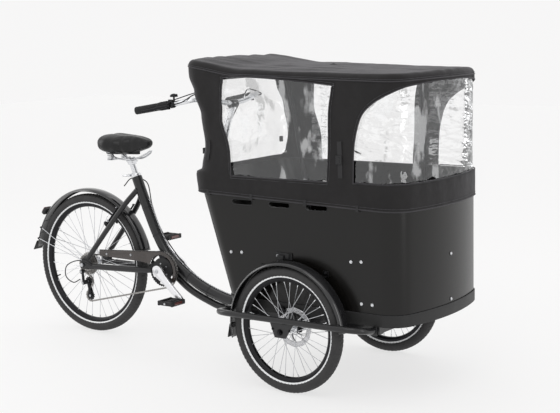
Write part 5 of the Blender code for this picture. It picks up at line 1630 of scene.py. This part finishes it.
def hems_and_seams():
    """Piped edges round the windows, with a line of stitches beside each."""
    piping = Shape()
    stitches = Shape()
    grow = 0.0048
    front = window_edge(FRONT_WINDOW, [])
    for side in (1, -1):
        path = [at(x, side * (HALF + grow), z) for x, z in window_edge(SIDE_WINDOW, [])]
        piping.tube(path + [path[0]], 0.0023, 8)
        stitch_line(stitches, offset_in_side(path, 0.009, side), 0.0046)
    over = [at(x, plan_y(x, grow), z) for x, z in front]
    whole = mirror_path(over)
    piping.tube(whole, 0.0023, 8)
    base = [(x, y) for x, y in box_outline(-0.5, grow, 0.05) if x > 0.282]
    left = [at(x, y, 0.8455) for x, y in base if y >= 0]
    piping.tube(mirror_path([over[0], *left[::-1]]), 0.0023, 8)
    piping.make("window_piping", PIPING, "front_module")
    shifted = []
    for before, here, after in zip(over, over[1:], over[2:]):
        along = (after - before).normalized()
        shifted.append(here + Vector((-abs(along.z), 0, abs(along.x))) * 0.009)
    stitch_line(stitches, mirror_path(shifted), 0.0046)
    hem = [at(x, y, hem_z(x) + 0.012) for x, y in box_outline(rear_edge(0.764), 0.0072, 0.03)]
    stitch_line(stitches, hem, 0.005)
    fold = [at(x, y, fold_z(x) + roof_bow(x, y) - 0.02) for x, y in box_outline(ROOF_REAR, 0.0052, 0.03)]
    stitch_line(stitches, fold, 0.005)
    stitches.make("canopy_stitches", THREAD, "front_module")
    edges = Shape()
    edges.tube(
        [at(x, y, hem_z(x) + 0.0015) for x, y in box_outline(rear_edge(0.752), 0.0058, 0.03)], 0.0026, 8,
        closed=True,
    )
    rim = [at(x, y, fold_z(x) + roof_bow(x, y) - 0.027) for x, y in box_outline(ROOF_REAR, 0.0046, 0.03)]
    edges.tube(rim, 0.0024, 8, closed=True)
    edges.make("canopy_bound_edges", PIPING, "front_module")


def offset_in_side(path, reach, side):
    """The path moved outward in the plane of the side."""
    centre = sum(path, Vector()) / len(path)
    moved = []
    for before, here, after in zip(path[-1:] + path[:-1], path, path[1:] + path[:1]):
        along = (after - before).normalized()
        out = Vector((-along.z, 0, along.x))
        if out.dot(here - centre) < 0:
            out = -out
        moved.append(here + out * reach + LEFT * side * 0.0006)
    return moved + moved[:1]


def stitch_line(shape, path, pitch):
    """Short threads laid end to end along a path."""
    left = 0.0
    for a, b in zip(path, path[1:]):
        span = (b - a).length
        if span < 1e-6:
            continue
        along = (b - a) / span
        while left + pitch * 0.6 < span:
            start = a + along * left
            shape.tube([start, start + along * pitch * 0.6], 0.00055, 5)
            left += pitch
        left = max(0.0, left - span)


def film(name, rows, inward):
    """A clear sheet with slow waves in it. inward gives the direction into the box at a point."""
    sheet = Shape().grid(rows)
    obj = sheet.make("film_" + name, FILM, "front_module", ["window_" + name], smooth=80)
    for vert in obj.data.vertices:
        p = vert.co - Vector((FRONT_X, 0, 0))
        wave = noise.noise(Vector((p.x * 7 + 3, p.y * 7, p.z * 6))) + 0.4 * noise.noise(p * 23)
        vert.co += inward(p) * (0.003 + 0.0028 * wave)
    obj.data.update()


def panes():
    columns, tall = 56, 40
    for side, name in SIDES:
        rows = []
        for j in range(tall + 1):
            share = j / tall
            rows.append([
                at(-0.345 + 0.545 * i / columns, side * (HALF - 0.0005),
                   0.8395 + (1.244 - 0.8395) * share)
                for i in range(columns + 1)
            ])
        film(name, rows, lambda p: Vector((0, -p.y, 0)).normalized())
    plan = [(x, y) for x, y in box_outline(-0.5, -0.0005) if x > 0.24]
    plan = [p for p in plan if p[1] < 0] + [p for p in plan if p[1] >= 0]
    rows = [[at(x, y, 0.8395 + 0.392 * j / tall) for x, y in plan] for j in range(tall + 1)]
    film("front", rows, lambda p: Vector((-p.x, -p.y, 0)).normalized())
    rows = []
    for j in range(tall + 1):
        z = 0.85 + 0.372 * j / tall
        back = [(x, y) for x, y in box_outline(rear_edge(z), -0.0005) if x < -0.3 and abs(y) < 0.3]
        rows.append([at(x, y, z) for x, y in back])
    film("rear", rows, lambda p: FORWARD)


def canopy_bows():
    bows = Shape()
    for foot_x, rim_x, top_x in ((-0.345, -0.395, -0.47), (0.225, 0.225, 0.225)):
        top_z = fold_z(top_x) - 0.02
        half = [
            (foot_x, 0.302, 0.6), (rim_x, 0.302, 0.86), ((rim_x + top_x) / 2, 0.3, 1.08),
            (top_x, 0.3, top_z - 0.045), (top_x, 0.275, top_z - 0.012), (top_x, 0.23, top_z),
        ]
        bows.tube(rounded(mirror_path([at(*p) for p in half]), 0.03, 6), 0.008, 18)
    rear_top, front_top = at(-0.47, 0, fold_z(-0.47) - 0.02), at(0.225, 0, fold_z(0.225) - 0.02)
    bows.tube(rounded([rear_top, front_top, front_top + Vector((0.23, 0, -0.022))], 0.05), 0.007, 16)
    bows.make("canopy_bows", BLACK_ALLOY, "front_module", ["canopy_frame"])
    sockets = Shape()
    for x in (-0.35, 0.225):
        for y in (0.302, -0.302):
            sockets.rod(at(x, y, 0.596), at(x - (0.014 if x < 0 else 0), y, 0.67), 0.0105, 20, 0.001)
    sockets.make("bow_sockets", PLASTIC, "front_module")


def strap(shape, path, width, thick, across):
    """A flat band along a path. across is the direction of its width."""
    rows = []
    path = [Vector(p) for p in path]
    for i, point in enumerate(path):
        along = (path[min(i + 1, len(path) - 1)] - path[max(i - 1, 0)]).normalized()
        side = (Vector(across) - along * along.dot(Vector(across))).normalized()
        up = along.cross(side)
        wide, tall = side * width / 2, up * thick / 2
        rows.append([point - wide - tall, point + wide - tall, point + wide + tall, point - wide + tall])
    shape.grid(rows, False, True, True)


def canopy_trims():
    """Straps and buckles on the posts, clips at the rear edge, and the hook that holds the rolled door."""
    webbing = Shape()
    for side in (1, -1):
        post = [
            at(0.222 + 0.004 * math.sin(z * 9), side * (HALF + 0.0075), z)
            for z in [0.86 + 0.02 * i for i in range(8)]
        ]
        strap(webbing, post, 0.02, 0.0012, FORWARD)
        rear = [
            at(rear_edge(z) + 0.06, side * (HALF + 0.0072), z)
            for z in [0.9 + 0.02 * i for i in range(5)]
        ]
        strap(webbing, rear, 0.016, 0.0012, FORWARD)
    webbing.make("post_straps", WEBBING, "front_module")
    buckles = Shape()
    for side in (1, -1):
        buckles.block(at(0.222, side * (HALF + 0.0095), 0.93), (0.027, 0.0045, 0.034))
        buckles.block(at(0.222, side * (HALF + 0.0118), 0.93), (0.012, 0.0025, 0.02))
        buckles.block(at(rear_edge(0.93) - 0.006, side * 0.272, 0.93), (0.01, 0.016, 0.024))
    buckles.make("strap_buckles", PLASTIC, "front_module", bevel=0.0012)
    hook = Shape()
    top = at(-0.55, 0.22, 1.292)
    path = [top, top + Vector((-0.006, 0, -0.02)), top + Vector((-0.009, 0, -0.052))]
    path += [top + Vector((x, 0, z)) for x, z in arc_points((-0.001, -0.058), 0.008, 180, 360, 9)]
    hook.tube(curve_through(path, 3), 0.0016, 8)
    hook.make("roof_hook", SILVER, "front_module")
    loops = Shape()
    for side in (1, -1):
        for x in (-0.42, -0.2, 0.06, 0.3):
            strap(
                loops, [at(x, side * (HALF + 0.0085), hem_z(x) + dz) for dz in (0.016, 0.004, -0.008)],
                0.012, 0.0011, FORWARD,
            )
    for y in (-0.18, 0.18):
        strap(
            loops, [at(rear_edge(0.77) - 0.009, y, 0.78 + dz) for dz in (0.008, -0.008, -0.024)], 0.012,
            0.0011, LEFT,
        )
    loops.make("hem_loops", WEBBING, "front_module")


# ---------------------------------------------------------------- handlebar

BAR_MIDDLE = at(-0.535, 0, 1.105)
GRIP_FRONT = at(-0.66, 0.27, 1.115)
GRIP_END = at(-0.805, 0.315, 1.09)


def grip_line(side):
    start, end = flip(GRIP_FRONT, side), flip(GRIP_END, side)
    return start, end, (end - start).normalized()


def handlebar():
    tubes = Shape()
    half = [
        (-0.528, 0.06, 1.112), (-0.53, 0.14, 1.128), (-0.562, 0.21, 1.134), (-0.615, 0.252, 1.124),
        (-0.66, 0.27, 1.115),
    ]
    left = curve_through([at(*p) for p in half], 8) + [GRIP_END]
    tubes.tube([flip(p, -1) for p in reversed(left)] + [BAR_MIDDLE] + left, 0.0111, 22)
    riser = [(-0.375, 0.282), (-0.425, 0.37), (-0.54, 0.73), (-0.583, 0.88), (-0.58, 0.97), (-0.535, 1.105)]
    tubes.tube(curve_through([at(x, 0, z) for x, z in riser], 8), 0.015, 26)
    tubes.make("handlebar_tubes", SILVER, "front_module", ["handlebar"])
    clamp = Shape()
    clamp.block(at(-0.3705, 0, 0.2825), (0.03, 0.06, 0.028))
    clamp.make("riser_foot", PAINT, "front_module", bevel=0.002)
    stem = Shape()
    stem.lathe(collar(0.0112, 0.0178, 0.022, 0.0013, 0.002), BAR_MIDDLE, LEFT, 32)
    for y in (-0.013, 0.013):
        stem.bolt(BAR_MIDDLE + Vector((0.017, y, 0.0)), FORWARD, 0.0035, 0.003)
    stem.make("bar_clamp", BLACK_ALLOY, "front_module")


def grip(side, name):
    start, end, heading = grip_line(side)
    length = (end - start).length
    first = 0.045 if side < 0 else 0.02
    ribs = 22
    step = (length - first - 0.014) / ribs
    section = [(0.0116, first), (0.0158, first), (0.0172, first + 0.002), (0.0172, first + 0.005)]
    section.append((0.016, first + 0.0065))
    for i in range(ribs):
        low = first + 0.009 + step * i
        section += [(0.0156, low), (0.0165, low + step * 0.2), (0.0165, low + step * 0.65)]
        section.append((0.0156, low + step * 0.85))
    section += [(0.0165, length), (0.015, length + 0.0045), (0.01, length + 0.006), (0.0, length + 0.006)]
    ribbed = Shape().lathe(section, start, heading, 40, False)
    ribbed.make("grip_ribbed_" + name, RUBBER, "front_module", ["grip_" + name], smooth=30)


def brake_lever(side, name):
    """A perch clamped to the bar, and the blade that turns on its pin."""
    start, _, heading = grip_line(side)
    outward = LEFT * side
    hinge = pivot("brake_lever_%s_pull" % name)
    spot = start - heading * 0.012
    perch = Shape()
    perch.lathe(collar(0.0115, 0.016, 0.009, 0.001, 0.0015), spot, heading, 32)
    root = spot + outward * 0.01
    knuckle = hinge + outward * 0.002
    perch.tube([root, knuckle - UP * 0.0112], [0.0085, 0.007], 14)
    perch.tube([root, knuckle + UP * 0.0112], [0.0085, 0.006], 14)
    perch.rod(hinge - UP * 0.0155, hinge - UP * 0.0075, 0.008, 20, 0.001)
    perch.rod(hinge + UP * 0.0075, hinge + UP * 0.011, 0.008, 20, 0.001)
    perch.rod(knuckle - heading * 0.012, knuckle - heading * 0.03, 0.0045, 14, 0.001)
    perch.make("lever_perch_" + name, BLACK_ALLOY, "front_module")
    blade = [(0.0, 0.0, 0.0), (0.03, 0.012, 0.003), (0.08, 0.012, 0.006), (0.112, 0.018, 0.006)]
    route = [hinge + heading * along + outward * out - UP * down for along, out, down in blade]
    lever = Shape().tube(curve_through(route, 10), 0.0048, 16, flat=1.15)
    lever.rod(hinge - UP * 0.0066, hinge + UP * 0.0066, 0.0074, 20, 0.001)
    body = "brake_lever_" + name
    lever.make("lever_blade_" + name, BLACK_ALLOY, body, [body])


def shifter():
    start, _, heading = grip_line(-1)
    section = [(0.0116, 0.0083), (0.0175, 0.0083), (0.0185, 0.0098)]
    steps = 10
    for i in range(steps):
        low = 0.0115 + 0.03 * i / steps
        section += [(0.0178, low), (0.0185, low + 0.0009), (0.0185, low + 0.002), (0.0178, low + 0.0027)]
    section += [(0.0183, 0.0425), (0.0172, 0.0442), (0.0116, 0.0442)]
    barrel = Shape().lathe(section, start, heading, 44)
    barrel.make("shifter_barrel", RUBBER, "twist_shifter", ["twist_shifter"], smooth=30)
    window = Shape().block(start - heading * 0.001 + Vector((0.0, 0.004, 0.0165)), (0.02, 0.012, 0.01))
    window.make("shifter_indicator", PLASTIC, "front_module", bevel=0.002)


def bell():
    low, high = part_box("bell")
    base = Vector(((low.x + high.x) / 2, (low.y + high.y) / 2, low.z))
    section = [
        (0.0, 0.0), (0.016, 0.0), (0.017, 0.0012), (0.0166, 0.005), (0.014, 0.0092), (0.009, 0.0122),
        (0.0035, 0.0136), (0.0, 0.0139),
    ]
    Shape().lathe(section, base, UP, 40, False).make("bell_dome", BLACK_ALLOY, "front_module", ["bell"])
    start, _, heading = grip_line(-1)
    arm = Shape()
    bar = start - heading * 0.02
    arm.lathe(collar(0.0114, 0.0134, 0.005), bar, heading, 28)
    arm.rod(bar + UP * 0.012, base + UP * 0.001, 0.004, 14)
    arm.tube(
        [base + Vector((0.004, 0.012, 0.004)), base + Vector((-0.004, 0.024, 0.008))], [0.0028, 0.0034], 10,
    )
    arm.make("bell_mount", PLASTIC, "front_module")


def control_cables():
    """Brake and shift hoses run from the bar, in loops, down behind the box."""
    hoses = Shape()
    for side, name in SIDES:
        heading = grip_line(side)[2]
        root = pivot("brake_lever_%s_pull" % name) - heading * 0.028 + LEFT * side * 0.002
        route = [
            root, root - heading * 0.04 + UP * 0.006,
            at(-0.585, side * 0.185, 1.155), at(-0.556, side * 0.11, 1.135),
            at(-0.566, side * 0.05, 1.06), at(-0.6, side * 0.022, 0.96), at(-0.6, side * 0.019, 0.87),
            at(-0.56, side * 0.019, 0.72), at(-0.497, side * 0.019, 0.52), at(-0.44, side * 0.019, 0.35),
        ]
        hoses.tube(curve_through(route, 8), 0.0025, 10)
    start, _, heading = grip_line(-1)
    root = start + heading * 0.006 + UP * 0.01
    route = [
        root, root - heading * 0.045 + UP * 0.01, at(-0.578, -0.15, 1.165), at(-0.56, -0.06, 1.14),
        at(-0.59, -0.008, 1.04), at(-0.607, 0.0, 0.95), at(-0.606, 0.0, 0.87), at(-0.566, 0.0, 0.72),
        at(-0.505, 0.0, 0.52), at(-0.45, 0.0, 0.356),
    ]
    hoses.tube(curve_through(route, 8), 0.0022, 10)
    hoses.make("control_hoses", PLASTIC, "front_module")
    ties = Shape()
    for x, z in ((-0.583, 0.88), (-0.54, 0.73), (-0.482, 0.55)):
        ties.lathe(collar(0.0152, 0.0218, 0.003), at(x - 0.004, 0, z), Vector((-0.3, 0, 0.95)), 30)
    ties.make("hose_ties", PLASTIC, "front_module")


# ---------------------------------------------------------------- the whole scene

make_camera()
make_studio()
wheels()
valve_caps()
front_fenders()
rear_fender()
guard_rails()
front_chassis()
rear_frame()
boom_cable()
seat_clamp()
brake_arms()
tail_light()
chain()
chain_guard()
cassette_and_rings()
derailleur()
for side, name in SIDES:
    crank_arm(side, name)
    pedal(side, name)
saddle()
box()
box_hardware()
canopy()
hems_and_seams()
panes()
canopy_bows()
canopy_trims()
handlebar()
for side, name in SIDES:
    grip(side, name)
    brake_lever(side, name)
shifter()
bell()
control_cables()
